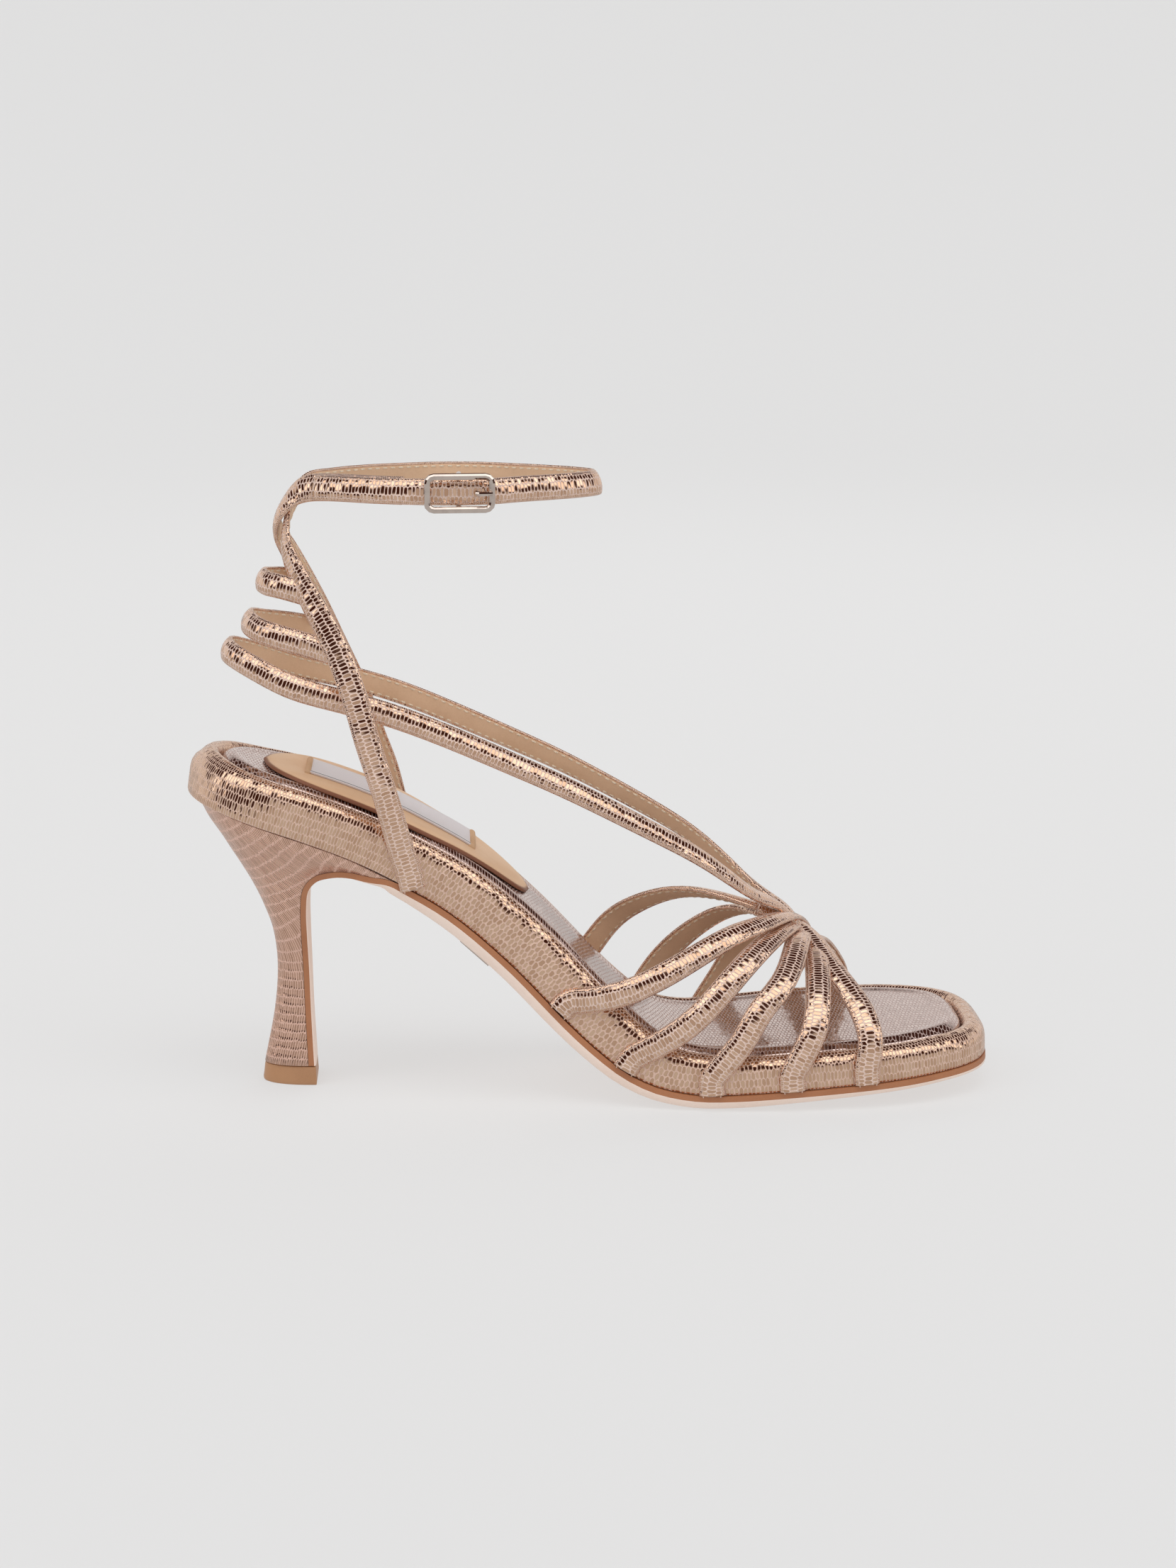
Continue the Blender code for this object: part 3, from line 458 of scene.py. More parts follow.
def close_holes(piece):
    """Close every open edge loop of a piece and turn its faces outwards."""
    bm = bmesh.new()
    bm.from_mesh(piece.data)
    bmesh.ops.holes_fill(bm, edges=[edge for edge in bm.edges if len(edge.link_faces) == 1])
    bmesh.ops.recalc_face_normals(bm, faces=bm.faces)
    bm.to_mesh(piece.data)
    bm.free()


def close_ring(bm, layer, ring, row):
    """Close a ring with rungs between its two sides."""
    half = len(ring) // 2
    spot = dict(zip(ring, row))
    left, right = ring[1:half], ring[:half:-1]
    steps = [(ring[0], left[0], right[0])]
    steps += [(left[k], left[k + 1], right[k + 1], right[k]) for k in range(len(left) - 1)]
    steps.append((left[-1], ring[half], right[-1]))
    for corners in steps:
        face = bm.faces.new(corners)
        for loop in face.loops:
            loop[layer].uv = spot[loop.vert]


def wears(piece, slot_name, *nodes):
    """The piece rides on the shoe and stands for CAD nodes, which it hides. Its slot name is not
    used.
    """
    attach(piece, "root")
    if nodes:
        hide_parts(*nodes)


def smooth_leather(name, colour, dark, roughness, grain, grain_size, edge=None):
    """Plain leather: cloudy colour with a fine grain in its relief. An edge colour shows where
    the piece's own map says that it is burnished."""
    made, tree, shader = material(name)
    clouds, fine = noise(tree, 90.0, 3.0), noise(tree, 1 / grain_size, 2.0)
    tone = (clouds.ramp(0.35, 0.7, 0, 0.35) + fine.ramp(0.4, 0.7, 0, 0.18)).mix(colour, dark)
    if edge:
        burnt = split(tree, cells_map(tree))[0]
        tone = burnt.ramp(0.1, 0.9).mix(tone, edge)
    feed(tree, shader, Base_Color=tone,
         Roughness=clouds.ramp(0.3, 0.7, roughness - 0.06, roughness + 0.08))
    emboss(tree, shader, fine, grain, 0.15 * MM)
    return made


def sole_stations():
    """Centre, outer and inner half width and belly of the sole, from the top piece to the toe."""
    stations = []
    for row in smooth_rows(HEEL[::-1], 4):
        ring = heel_ring(row, 24)
        place = (ring[0] + ring[-1]) / 2
        stations.append((Vector((place.x, 0, place.z)), -ring[0].y, ring[-1].y, row[7]))
    joined = stations[-1][0].x
    for x, outer, inner, _, belly in RUNGS[:-1]:
        if x > joined + 2 * MM:
            centre = Vector((x, 0, profile_height(x)))
            stations.append((centre, outer + SOLE_PROUD, inner + SOLE_PROUD, belly))
    tip = RUNGS[-1][0] + SOLE_PROUD
    stations.append((Vector((tip, 0, profile_height(tip))), 1 * MM, 1 * MM, RUNGS[-1][4]))
    return stations


def build_outsole():
    stations = sole_stations()
    rings, marks = [], []
    for k, (place, outer, inner, belly) in enumerate(stations):
        before, after = stations[max(k - 1, 0)][0], stations[min(k + 1, len(stations) - 1)][0]
        run = (after - before).normalized()
        down = Vector((run.z, 0, -run.x)) if k else Vector((1, 0, 0))
        on_breast = place.x < along_to_x(HEEL[0][0]) - 1 * MM
        start = place + down * (GAP * 0.3 if on_breast else 0)
        square = down * SOLE_SQUARE * SOLE_EDGE
        ring = [start + Vector((0, -outer, 0)), start + Vector((0, inner, 0)),
                start + Vector((0, inner, 0)) + square]
        for side, wide in ((1, inner), (-1, outer)):
            for share, sink in BELLY_SHAPE[::side]:
                low = down * (SOLE_EDGE + sink * belly * SOLE_BELLY)
                ring.append(start + Vector((0, side * wide * share, 0)) + low)
        ring.append(start + Vector((0, -outer, 0)) + square)
        for point in ring:
            point.z = max(point.z, 0)
        rings.append(ring)
        marks.append([(0, 0)] * (len(ring) + 1))
    belly_faces = range(3, 2 + 2 * len(BELLY_SHAPE))
    stained = smooth_leather("sole_edge_stained", (0.46, 0.19, 0.085), (0.35, 0.125, 0.05), 0.42,
                             0.35, 0.35 * MM)
    pale = smooth_leather("sole_belly_leather", (0.93, 0.76, 0.66), (0.86, 0.66, 0.55), 0.5,
                          0.25, 0.5 * MM)
    sole = skin("outsole_leather", rings, marks, caps="start end", looks=(stained, pale),
                faces_look=lambda r, k: 1 if k in belly_faces else 0)
    wears(sole, "sole_leather", "outsole")


build_outsole()


# Heel. A flared block covered in the embossed foil leather, which is pulled round from the
# back, so that its rows of narrow cells lie level at the neck and rise forwards above it.
HEEL_CELL = 0.66 * MM
HEEL_ROW = 2.4 * MM
NECK_LOW = 28 * MM
NECK_HIGH = 50 * MM
ROW_TILT = math.radians(23)

# Embossing. Squareness of a cell's corners, how much a cell may fall short of its reach, and
# the rows of the heel between which hollowed cells give way to flat ones
CELL_CORNER = 4.5
CELL_SPARE = 0.06
FLAT_ROW = 18
HOLLOW_ROW = 13
NET_ROUGHNESS = 0.42


def cell_pattern(tree, wander=0.25, seam=(0.15, 0.085), hexagon=0.09, fine_beyond=None):
    """Staggered rows of rounded cells from the piece's own map, one unit to a cell. The edge
    that it gives is 1 where a cell ends. Rows beyond fine_beyond, counted from the middle of a
    strap, have cells of half the length."""
    spot = cells_map(tree)
    drift = node(tree, "ShaderNodeTexNoise", {"noise_dimensions": "2D"}, Vector=spot, Scale=0.8,
                 Detail=1.0)
    drift = node(tree, "ShaderNodeVectorMath", {"operation": "SUBTRACT"}, i0=drift.outputs[1],
                 i1=(0.5, 0.5, 0.5))
    drift = node(tree, "ShaderNodeVectorMath", {"operation": "SCALE"}, i0=drift.outputs[0],
                 Scale=wander * 2)
    moved = node(tree, "ShaderNodeVectorMath", {"operation": "ADD"}, i0=spot,
                 i1=drift.outputs[0])
    u, v = split(tree, moved.outputs[0])[:2]
    if fine_beyond is not None:
        u = u * (abs(v - 0.5).do("GREATER_THAN", fine_beyond) + 1)
    zigzag = (abs(u.do("FRACT") - 0.5) * 4 - 1) * (v * math.pi).do("COSINE")
    v = v - zigzag * hexagon
    row = v.do("FLOOR")
    u = u + row.do("FLOORED_MODULO", 2) * 0.5
    column = u.do("FLOOR")
    across, up = u - column - 0.5, v - row - 0.5
    key = node(tree, "ShaderNodeCombineXYZ", X=column, Y=row, Z=0.0).outputs[0]
    dice = node(tree, "ShaderNodeTexWhiteNoise", {"noise_dimensions": "3D"}, Vector=key)
    three = split(tree, dice.outputs["Color"])

    def share(distance, gap, chance):
        reach = 0.5 - gap / 2
        return (abs(distance) / chance.ramp(0, 1, reach - CELL_SPARE, reach)) ** CELL_CORNER

    edge = share(across, seam[0], three[0]) + share(up, seam[1], three[1])
    edge = edge ** (1 / CELL_CORNER)
    return edge, Number(tree, dice.outputs["Value"]), three, across, up


def foil_leather(name, net, bright, deep, polish=0.08, relief=0.7, tilt=0.6, dish=0.0,
                 net_foil=0.3, **pattern):
    """Lizard-embossed leather: foil cells from bright to deep that mirror the room, in a satin
    net. Cells are tilted at random by up to tilt, and dish hollows those of the heel."""
    made, tree, shader = material(name)
    edge, chance, three, across, up = cell_pattern(tree, **pattern)
    cell = edge.ramp(1.05, 0.95)
    ground = noise(tree, 2600.0, 1.0).ramp(0.35, 0.65).mix(net, [0.9 * part for part in net])
    shine = three[2].ramp(0, 1, polish, polish + 0.08)
    rough = node(tree, "ShaderNodeMix", {"data_type": "FLOAT"}, i0=cell, i2=NET_ROUGHNESS,
                 i3=shine)
    feed(tree, shader, Base_Color=cell.mix(ground, chance.mix(bright, deep)),
         Metallic=cell.ramp(0, 1, net_foil, 1), Roughness=rough.outputs[0])
    slant = ((three[0] - 0.5) * across + (three[1] - 0.5) * up) * (tilt * 2)
    if dish:
        row = split(tree, cells_map(tree))[1]
        slant = up * up * (row.ramp(FLAT_ROW, HOLLOW_ROW) * dish) + slant
    emboss(tree, shader, edge.ramp(1.3, 1.02) + cell * slant, relief, 0.12 * MM)
    return made


def heel_mark(run, place, back_x):
    """Cell and row at a place on the heel, from its run round from the middle of the back."""
    share = min(max((place.z - NECK_LOW) / (NECK_HIGH - NECK_LOW), 0), 1)
    tilt = ROW_TILT * share * share * (3 - 2 * share)
    row = (place.z - (place.x - back_x) * math.tan(tilt)) * math.cos(tilt)
    return run / HEEL_CELL, row / HEEL_ROW


def build_heel():
    count = 64
    back = count // 2
    rings, marks = [], []
    for row in smooth_rows(HEEL, 6):
        ring = heel_ring(row, count)
        run = [0.0]
        for k in range(1, count + 1):
            run.append(run[-1] + (ring[k] - ring[k - 1]).length)
        rings.append(ring)
        marks.append([heel_mark(run[k] - run[back], point, ring[back].x)
                      for k, point in enumerate(ring)] + [(0, 0)])
    look = foil_leather("heel_foil_leather", wander=0.14, seam=(0.32, 0.12), hexagon=0.04,
                        polish=0.12, tilt=0.8, relief=0.6, dish=20, net=(0.86, 0.56, 0.45),
                        bright=(0.74, 0.465, 0.34), deep=(0.56, 0.34, 0.24))
    heel = skin("heel_cover", rings, marks, looks=(look,))
    close_holes(heel)
    wears(heel, "foil_leather", "heel")


build_heel()


# Top piece. The small moulded lift that the heel walks on, tan like the sole, a little wider
# at the floor and with a worn, softened lower edge.
TOP_PIECE_HEIGHT = 5 * MM
TOP_PIECE_FLARE = 0.7 * MM

# Share of its height, share of the flare, and inset in millimetres
TOP_PIECE_SECTION = [
    (1.0, 0, 0.35), (0.97, 0, 0.1), (0.9, 0.05, 0), (0.5, 0.5, 0), (0.2, 1, 0), (0.1, 1.02, 0.05),
    (0.03, 0.95, 0.2), (0, 0.8, 0.6),
]


def build_top_piece():
    last = HEEL[-1]
    front = along_to_x(last[0]) + SOLE_EDGE + last[7] * SOLE_BELLY
    back = along_to_x(last[2])
    wide = last[4] * HEEL_SEAT_WIDTH / 2
    count = 48
    rings, marks = [], []
    for height, flare, inset in TOP_PIECE_SECTION:
        ring = []
        for k in range(count + 1):
            turn = math.pi * k / count
            share = math.sin(turn) ** (2 / last[5])
            spread = flare * TOP_PIECE_FLARE - inset * MM
            x = front + spread * 0.3 + (back - spread - front) * share
            y = -(wide + spread * 0.5) * math.cos(turn)
            ring.append(Vector((x, y, height * TOP_PIECE_HEIGHT)))
        rings.append(ring)
        marks.append([(k, height) for k in range(count + 2)])
    look = smooth_leather("top_piece_rubber", (0.48, 0.25, 0.125), (0.39, 0.195, 0.095), 0.38,
                          0.15, 0.4 * MM)
    piece = skin("top_piece_lift", rings, marks, looks=(look,))
    close_holes(piece)
    wears(piece, "top_piece_rubber", "top_piece")


build_top_piece()


# Footbed wrap. A strip of the foil leather is drawn round the edge of the platform, over a
# soft rim, and down into the groove beside the pad. Its cells are upright at the heel and
# turn to a rounder honeycomb along the waist.
WRAP_HEIGHT = 12.3 * MM
RIM_WIDTH = 6.3 * MM

# Section of the wrap from its foot to the groove: inset in rim widths, share of its height
WRAP_SECTION = [
    (0.12, 0.01), (0.03, 0.02), (0.0, 0.06), (0.0, 0.18), (0.0, 0.33), (0.0, 0.46),
    (0.02, 0.60), (0.07, 0.72), (0.15, 0.82), (0.26, 0.90), (0.40, 0.965), (0.54, 1.0),
    (0.68, 1.0), (0.80, 0.965), (0.89, 0.90), (0.95, 0.80), (0.985, 0.66), (1.0, 0.50),
]

# Cells along the wall: along, width and height of a cell in millimetres
WALL_CELLS = [(0.0, 0.85, 2.2), (0.25, 0.88, 2.2), (0.36, 1.25, 1.8), (0.6, 1.3, 1.8),
              (0.75, 1.0, 2.2), (1.0, 1.0, 2.2)]


def wrap_height(x):
    return WRAP_HEIGHT * rung_value(x, 3)


def flat_ring(inset):
    """Closed outline seen from above, a distance inside the last's edge."""
    outer = [Vector((x, -wide)) for x, wide, _, _, _ in RUNGS]
    inner = [Vector((x, wide)) for x, _, wide, _, _ in RUNGS]
    loop = outer + inner[-2:0:-1]
    ring = []
    for k, point in enumerate(loop):
        run = loop[(k + 1) % len(loop)] - loop[k - 1]
        ring.append(point + Vector((-run.y, run.x)).normalized() * inset)
    return ring


def bent_ring(inset, share, rise=0.0):
    return [bend(p.x, p.y, wrap_height(p.x) * share + rise) for p in flat_ring(inset)]


def wall_cells(edge):
    """Cells counted along the closed outline, a whole number all the way round."""
    run = [0.0]
    for k in range(len(edge)):
        a, b = edge[k], edge[(k + 1) % len(edge)]
        width = hermite(WALL_CELLS, 1, x_to_along((a.x + b.x) / 2)) * MM
        run.append(run[-1] + (b - a).length / width)
    whole = round(run[-1]) / run[-1]
    return [value * whole for value in run]


def build_wrap():
    cells = wall_cells(bent_ring(0, 0.4))
    rings, marks = [], []
    climbed = [0.0] * len(cells)
    for inset, share in WRAP_SECTION:
        ring = bent_ring(inset * RIM_WIDTH, share)
        if rings:
            for k in range(len(cells)):
                here, below = ring[k % len(ring)], rings[-1][k % len(ring)]
                tall = hermite(WALL_CELLS, 2, x_to_along(here.x)) * MM
                tall *= 1 if share < 0.9 and inset < 0.5 else 0.5
                climbed[k] += (here - below).length / tall
        rings.append(ring)
        marks.append([(cells[k], climbed[k] - 0.25) for k in range(len(cells))])
    look = foil_leather("wrap_foil_leather", net=(0.88, 0.62, 0.50), seam=(0.24, 0.12),
                        relief=0.6, tilt=1.6, net_foil=0.4, bright=(0.86, 0.60, 0.43),
                        deep=(0.70, 0.445, 0.30))
    wrap = skin("footbed_rim", rings, marks, caps="start end", looks=(look,))
    wears(wrap, "foil_leather", "footbed_wrap")


build_wrap()


# Footbed pad. Foam lies under a finely embossed foil and fills the room inside the rim. The
# pad is crowned and has a raised ridge at its edge.
PAD_RISE = 0.6 * MM
PAD_CELL = 0.98 * MM
PAD_ROW = 2.0 * MM

# Section of the pad from its foot to its middle: inset in rim widths, share of the wrap's
# height, rise in millimetres
PAD_SECTION = [
    (0.00, 0.52, 0.0), (0.00, 0.80, 0.0), (0.03, 0.92, 0.0), (0.10, 1.0, -0.45), (0.22, 1.0, 0.15),
    (0.36, 1.0, 0.62), (0.50, 1.0, 0.75), (0.64, 1.0, 0.62), (0.80, 1.0, 0.35), (1.0, 1.0, 0.30),
    (1.5, 1.0, 0.45),
]


def pad_top(x):
    return wrap_height(x) + PAD_RISE


def pad_run(x):
    """Length along the bent footbed from the ball to a place."""
    steps = 24
    start = along_to_x(0.6)
    spots = [start + (x - start) * k / steps for k in range(steps + 1)]
    run = sum(math.hypot(b - a, profile_height(b) - profile_height(a))
              for a, b in zip(spots, spots[1:]))
    return math.copysign(run, x - start)


def build_pad():
    edge = RIM_WIDTH + GAP
    rings, marks = [], []
    for inset, share, rise in PAD_SECTION:
        ring = bent_ring(edge + inset * RIM_WIDTH, share, rise * MM)
        rings.append(ring)
        row = [(pad_run(p.x) / PAD_CELL, p.y / PAD_ROW) for p in ring]
        marks.append(row + [row[0]])
    look = foil_leather("footbed_foil_leather", wander=0.2, seam=(0.17, 0.10), polish=0.10,
                        tilt=0.4, net=(0.70, 0.53, 0.49), bright=(0.78, 0.63, 0.58),
                        deep=(0.62, 0.48, 0.44), net_foil=0.55)
    pad = skin("footbed_pad", rings, marks, caps="start end", looks=(look,))
    wears(pad, "foil_leather", "insole_pad")


build_pad()


# Heel sock. A smooth tan leather insert with a cut, darkened edge, glued on the heel of the
# footbed, and the label stitched on it: a bare woven patch with a thin dark line.
LABEL_LENGTH = 44 * MM
LABEL_WIDTH = 19 * MM
LABEL_THICKNESS = 0.6 * MM
LABEL_ASIDE = 1.5 * MM
LABEL_ALONG = 0.222
LABEL_EDGE = 0.49
WEFT_THREADS = 110
WARP_THREADS = 55
LINE_START = (0.03, 0.04)
LINE_END = (0.075, 0.065)
TAB_LENGTH = 19.57 * MM
TAB_WIDTH = 1.4 * MM
TAB_HEIGHT = 1.2 * MM
TAB_THREADS = 15
TAB_SECTION = [(-0.5, 0.0), (-0.46, 0.45), (-0.25, 0.88), (0.0, 1.0), (0.25, 0.88), (0.46, 0.45),
               (0.5, 0.0)]

# Outline of the sock: along, share of the room between the rims
SOCK = [
    (0.078, 0.00), (0.084, 0.34), (0.102, 0.66), (0.135, 0.88), (0.180, 0.96), (0.235, 0.97),
    (0.285, 0.90), (0.330, 0.74), (0.362, 0.54), (0.375, 0.30), (0.379, 0.00),
]

# Section of the sock from under its edge to its top: height in millimetres, pull towards its
# middle, and how far the edge is burnished
SOCK_SECTION = [
    (0.75, 0.25, 1), (1.0, 0.09, 1), (-0.1, 0.02, 1), (0.2, 0.0, 1), (0.75, 0.002, 1),
    (1.0, 0.012, 0.8), (1.15, 0.03, 0.25), (1.4, 0.09, 0.0), (1.42, 0.25, 0.0),
]


def sock_loop(steps):
    start, end = SOCK[0][0], SOCK[-1][0]
    places = [start + (end - start) * 0.5 * (1 - math.cos(math.pi * k / steps))
              for k in range(steps + 1)]

    def edge(along, side):
        x = along_to_x(along)
        room = max(half_width(x, side) - RIM_WIDTH - GAP, 0)
        return Vector((x, side * room * hermite(SOCK, 1, along)))

    outer = [edge(along, OUTER) for along in places]
    inner = [edge(along, INNER) for along in places]
    return outer + inner[-2:0:-1]


def build_sock():
    loop = sock_loop(48)
    middle = Vector((along_to_x((SOCK[0][0] + SOCK[-1][0]) / 2), 0))
    rings, marks = [], []
    for rise, pull, burn in SOCK_SECTION:
        flat = [p + (middle - p) * pull for p in loop]
        rings.append([bend(p.x, p.y, pad_top(p.x) + rise * MM) for p in flat])
        marks.append([(burn, 0)] * (len(loop) + 1))
    tan = smooth_leather("sock_leather", (0.80, 0.53, 0.32), (0.70, 0.43, 0.25), 0.5, 0.2,
                         0.45 * MM, edge=(0.24, 0.09, 0.045))
    sock = skin("sock_leather_insert", rings, marks, caps="start end", looks=(tan,))
    wears(sock, "sock_leather", "heel_sock")


def label_cloth():
    """Plain weave of pale thread, with the thin dark line along one side."""
    made, tree, shader = material("woven_label_cloth")
    along, across = split(tree, cells_map(tree))[:2]
    weft = (along * (2 * math.pi * WEFT_THREADS)).do("SINE")
    weave = weft * (across * (2 * math.pi * WARP_THREADS)).do("SINE")
    cloth = weave.ramp(-1, 1).mix((0.70, 0.665, 0.69), (0.80, 0.76, 0.78))
    line = across.ramp(*LINE_START) * across.ramp(*LINE_END)
    feed(tree, shader, Base_Color=line.mix(cloth, (0.03, 0.028, 0.03)), Roughness=0.62,
         Sheen_Weight=0.25)
    emboss(tree, shader, weave, 0.4, 0.08 * MM)
    return made


def build_label():
    base = SOCK_SECTION[-1][0] * MM + GAP * 0.2
    centre = along_to_x(LABEL_ALONG)
    steps = 40
    run = LABEL_LENGTH * math.cos(profile_slope(centre))
    section = [(-LABEL_EDGE, 0.0), (-0.5, 0.4), (-0.5, 0.8), (-LABEL_EDGE, 1.0)]
    section += [(-LABEL_EDGE + 2 * LABEL_EDGE * k / 8, 1.0) for k in range(1, 8)]
    section += [(-across, up) for across, up in section[3::-1]]
    rings, marks = [], []
    for k in range(steps + 1):
        x = centre + run * (k / steps - 0.5)
        rings.append([bend(x, LABEL_ASIDE + across * LABEL_WIDTH,
                           pad_top(x) + base + up * LABEL_THICKNESS) for across, up in section])
        row = [(k / steps, across + 0.5) for across, _ in section]
        marks.append(row + [row[0]])
    label = skin("woven_label", rings, marks, looks=(label_cloth(),))
    close_holes(label)
    wears(label, "woven_label", "label")


def build_label_tab(name, x):
    """Whipped thread that holds one end of the label, as a low roll across it."""
    base = pad_top(x) + SOCK_SECTION[-1][0] * MM
    rings, marks = [], []
    steps = 4 * TAB_THREADS
    for k in range(steps + 1):
        share = k / steps
        lump = 1 + 0.10 * math.sin(share * 2 * math.pi * TAB_THREADS)
        round_end = math.sqrt(max(1 - abs(2 * share - 1) ** 12, 0.02))
        y = LABEL_ASIDE + (share - 0.5) * TAB_LENGTH
        rings.append([bend(x + u * TAB_WIDTH * lump, y, base + v * TAB_HEIGHT * lump * round_end)
                      for u, v in TAB_SECTION])
        marks.append([(0, 0)] * (len(TAB_SECTION) + 1))
    tan = smooth_leather("label_thread", (0.66, 0.43, 0.26), (0.46, 0.27, 0.14), 0.6, 0.5, 0.3 * MM)
    tab = skin(name, rings, marks, looks=(tan,))
    close_holes(tab)
    wears(tab, "sock_leather")


build_sock()
build_label()
label_centre = along_to_x(LABEL_ALONG)
label_reach = LABEL_LENGTH / 2 * math.cos(profile_slope(label_centre))
build_label_tab("label_thread_back", label_centre - label_reach)
build_label_tab("label_thread_front", label_centre + label_reach)


# Straps. Each is foil leather folded over a soft core, with a thin tan lining stitched to its
# back along both edges, so that the front is domed and the back is flat. The vamp straps
# spring from the knot and are caught under the sole's edge.
INSTEP_HEIGHT = 56 * MM
STRAP_WIDTH = 6.8 * MM
LOOP_WIDTH = 6.4 * MM
STRAP_THICKNESS = 2.0 * MM
FORM_GAP = 0.4 * MM
WALL_GAP = 0.15 * MM
STRAP_CELL = 1.02 * MM

# Rows of cells across a strap's front: reach in millimetres from its middle, row
STRAP_ROWS = [(-5.0, -4.5), (-3.4, -2.5), (-2.7, -1.5), (-1.25, -0.5), (1.25, 0.5), (2.7, 1.5),
              (3.4, 2.5), (5.0, 4.5)]

# Crest of the form that the vamp straps lie on: along, share of the instep's height
CREST = [
    (0.40, 1.05), (0.50, 1.00), (0.60, 0.95), (0.69, 0.870), (0.747, 0.768), (0.78, 0.672),
    (0.818, 0.586), (0.874, 0.51), (0.944, 0.38),
]

# Vamp straps below the knot: side, two places on the way and the shoulder, each as along and
# turn in degrees, then along at the seam
VAMP_STRAPS = [
    (OUTER, (0.665, 36), (0.588, 58), (0.534, 75), 0.455),
    (OUTER, (0.690, 45), (0.640, 67), (0.600, 80), 0.536),
    (OUTER, (0.735, 50), (0.700, 67), (0.680, 80), 0.643),
    (OUTER, (0.776, 47), (0.770, 68), (0.760, 80), 0.741),
    (OUTER, (0.797, 30), (0.827, 49), (0.838, 75), 0.833),
    (INNER, (0.630, 26), (0.563, 46), (0.526, 66), 0.462),
    (INNER, (0.690, 38), (0.630, 60), (0.590, 77), 0.543),
    (INNER, (0.732, 46), (0.699, 67), (0.680, 80), 0.650),
    (INNER, (0.788, 45), (0.780, 68), (0.770, 80), 0.746),
    (INNER, (0.798, 32), (0.822, 57), (0.834, 75), 0.842),
]

# Their ends at the knot as along, turn and lift in millimetres: the first outer strap is
# wrapped over the others, the fifth runs forward along the crest, and the rest are tucked
# under. A strap's first place below the knot counts only when it is KNOT_STEP away.
KNOT_ENDS = [
    [(0.780, -34, -0.9), (0.768, -16, 0.3), (0.752, -1, 0.9), (0.731, 13, 0.7),
     (0.703, 25, 0.2)],
    [(0.758, -5, -1.7), (0.741, 14, -0.7)],
    [(0.768, -4, -1.5), (0.757, 20, -0.3)],
    [(0.779, -4, -1.9), (0.781, 20, -0.8)],
    [(0.732, -6, -0.6), (0.758, -3, -0.1), (0.781, 6, 0.1), (0.799, 27, 0.0)],
    [(0.722, 9, -1.4)],
    [(0.745, 6, -1.7)],
    [(0.758, -4, -1.8)],
    [(0.770, -6, -1.8)],
    [(0.770, -8, -1.4), (0.798, 32, 0.2)],
]
KNOT_STEP = 0.005

# On the wall, a strap's places: share of the way from seam to shoulder, share of the wall's
# height. The form that the straps lie on starts at its own share of that height.
SEAM_PLACES = [(0.12, 0.62), (0, 0.36), (0, 0.05)]
SHOULDER = 0.84

# Section of a strap: share of its width, share of its thickness. The first and last points
# lie under the lining's edges.
STRAP_SECTION = [
    (-0.40, 0.10), (-0.46, 0.04), (-0.495, 0.14), (-0.50, 0.30), (-0.485, 0.45), (-0.44, 0.60),
    (-0.385, 0.70), (-0.35, 0.72), (-0.31, 0.80), (-0.22, 0.92), (-0.11, 0.985), (0.0, 1.0),
    (0.11, 0.985), (0.22, 0.92), (0.31, 0.80), (0.35, 0.72), (0.385, 0.70), (0.44, 0.60),
    (0.485, 0.45), (0.50, 0.30), (0.495, 0.14), (0.46, 0.04), (0.40, 0.10), (0.39, 0.0),
    (0.36, -0.04), (0.0, -0.05), (-0.36, -0.04), (-0.39, 0.0),
]
FRONT_POINTS = 23
STRAP_STEPS = 8
EASING = 14

# Stitched seams: share of the strap's width from its middle, and shares of its thickness
SEAM_ASIDE = 0.335
SEAM_ON_FOIL = 0.70
SEAM_ON_LINING = -0.06


def rim_height(x):
    """World height of the rim's shoulder at a place along the shoe."""
    return profile_height(x) + SHOULDER * wrap_height(x) / math.cos(profile_slope(x))


def instep_point(along, turn, side, lift=0.0):
    """Point on the form that the vamp straps lie on, a turn away from its crest."""
    x = along_to_x(along)
    angle = math.radians(turn)
    wide = half_width(x, side) + FORM_GAP
    base = rim_height(x)
    crest = INSTEP_HEIGHT * hermite(CREST, 1, along)
    place = Vector((x, side * wide * math.sin(angle), base + (crest - base) * math.cos(angle)))
    face = Vector((0, side * math.sin(angle) / wide, math.cos(angle) / (crest - base)))
    face.normalize()
    return place + face * lift, face


def wall_point(along, share, side):
    """Point just outside the wrap's wall, at a share of its height."""
    x = along_to_x(along)
    wide = half_width(x, side) + WALL_GAP
    reach = STRAP_WIDTH / 2
    spread = (half_width(x + reach, side) - half_width(x - reach, side)) / (2 * reach)
    face = Vector((-spread, side, 0)).normalized()
    return bend(x, side * wide, wrap_height(x) * share), face


def vamp_path(row, ends):
    side, upper, middle, shoulder, seam = row
    path = [instep_point(along, turn, side, lift * MM) for along, turn, lift in ends]
    if abs(ends[-1][0] - upper[0]) > KNOT_STEP:
        path.append(instep_point(*upper, side))
    path += [instep_point(*middle, side), instep_point(*shoulder, side)]
    path += [wall_point(seam + (shoulder[0] - seam) * share, rise, side)
             for share, rise in SEAM_PLACES]
    return path


strap_lining = smooth_leather("strap_lining_leather", (0.74, 0.50, 0.325), (0.60, 0.38, 0.235),
                              0.6, 0.25, 0.5 * MM)
strap_foil = foil_leather("strap_foil_leather", net=(0.94, 0.71, 0.61), wander=0.22,
                          hexagon=0.05, seam=(0.2, 0.11), tilt=1.4, fine_beyond=1.5,
                          bright=(0.90, 0.62, 0.45), deep=(0.68, 0.42, 0.28))
seams = {"front": [], "back": []}


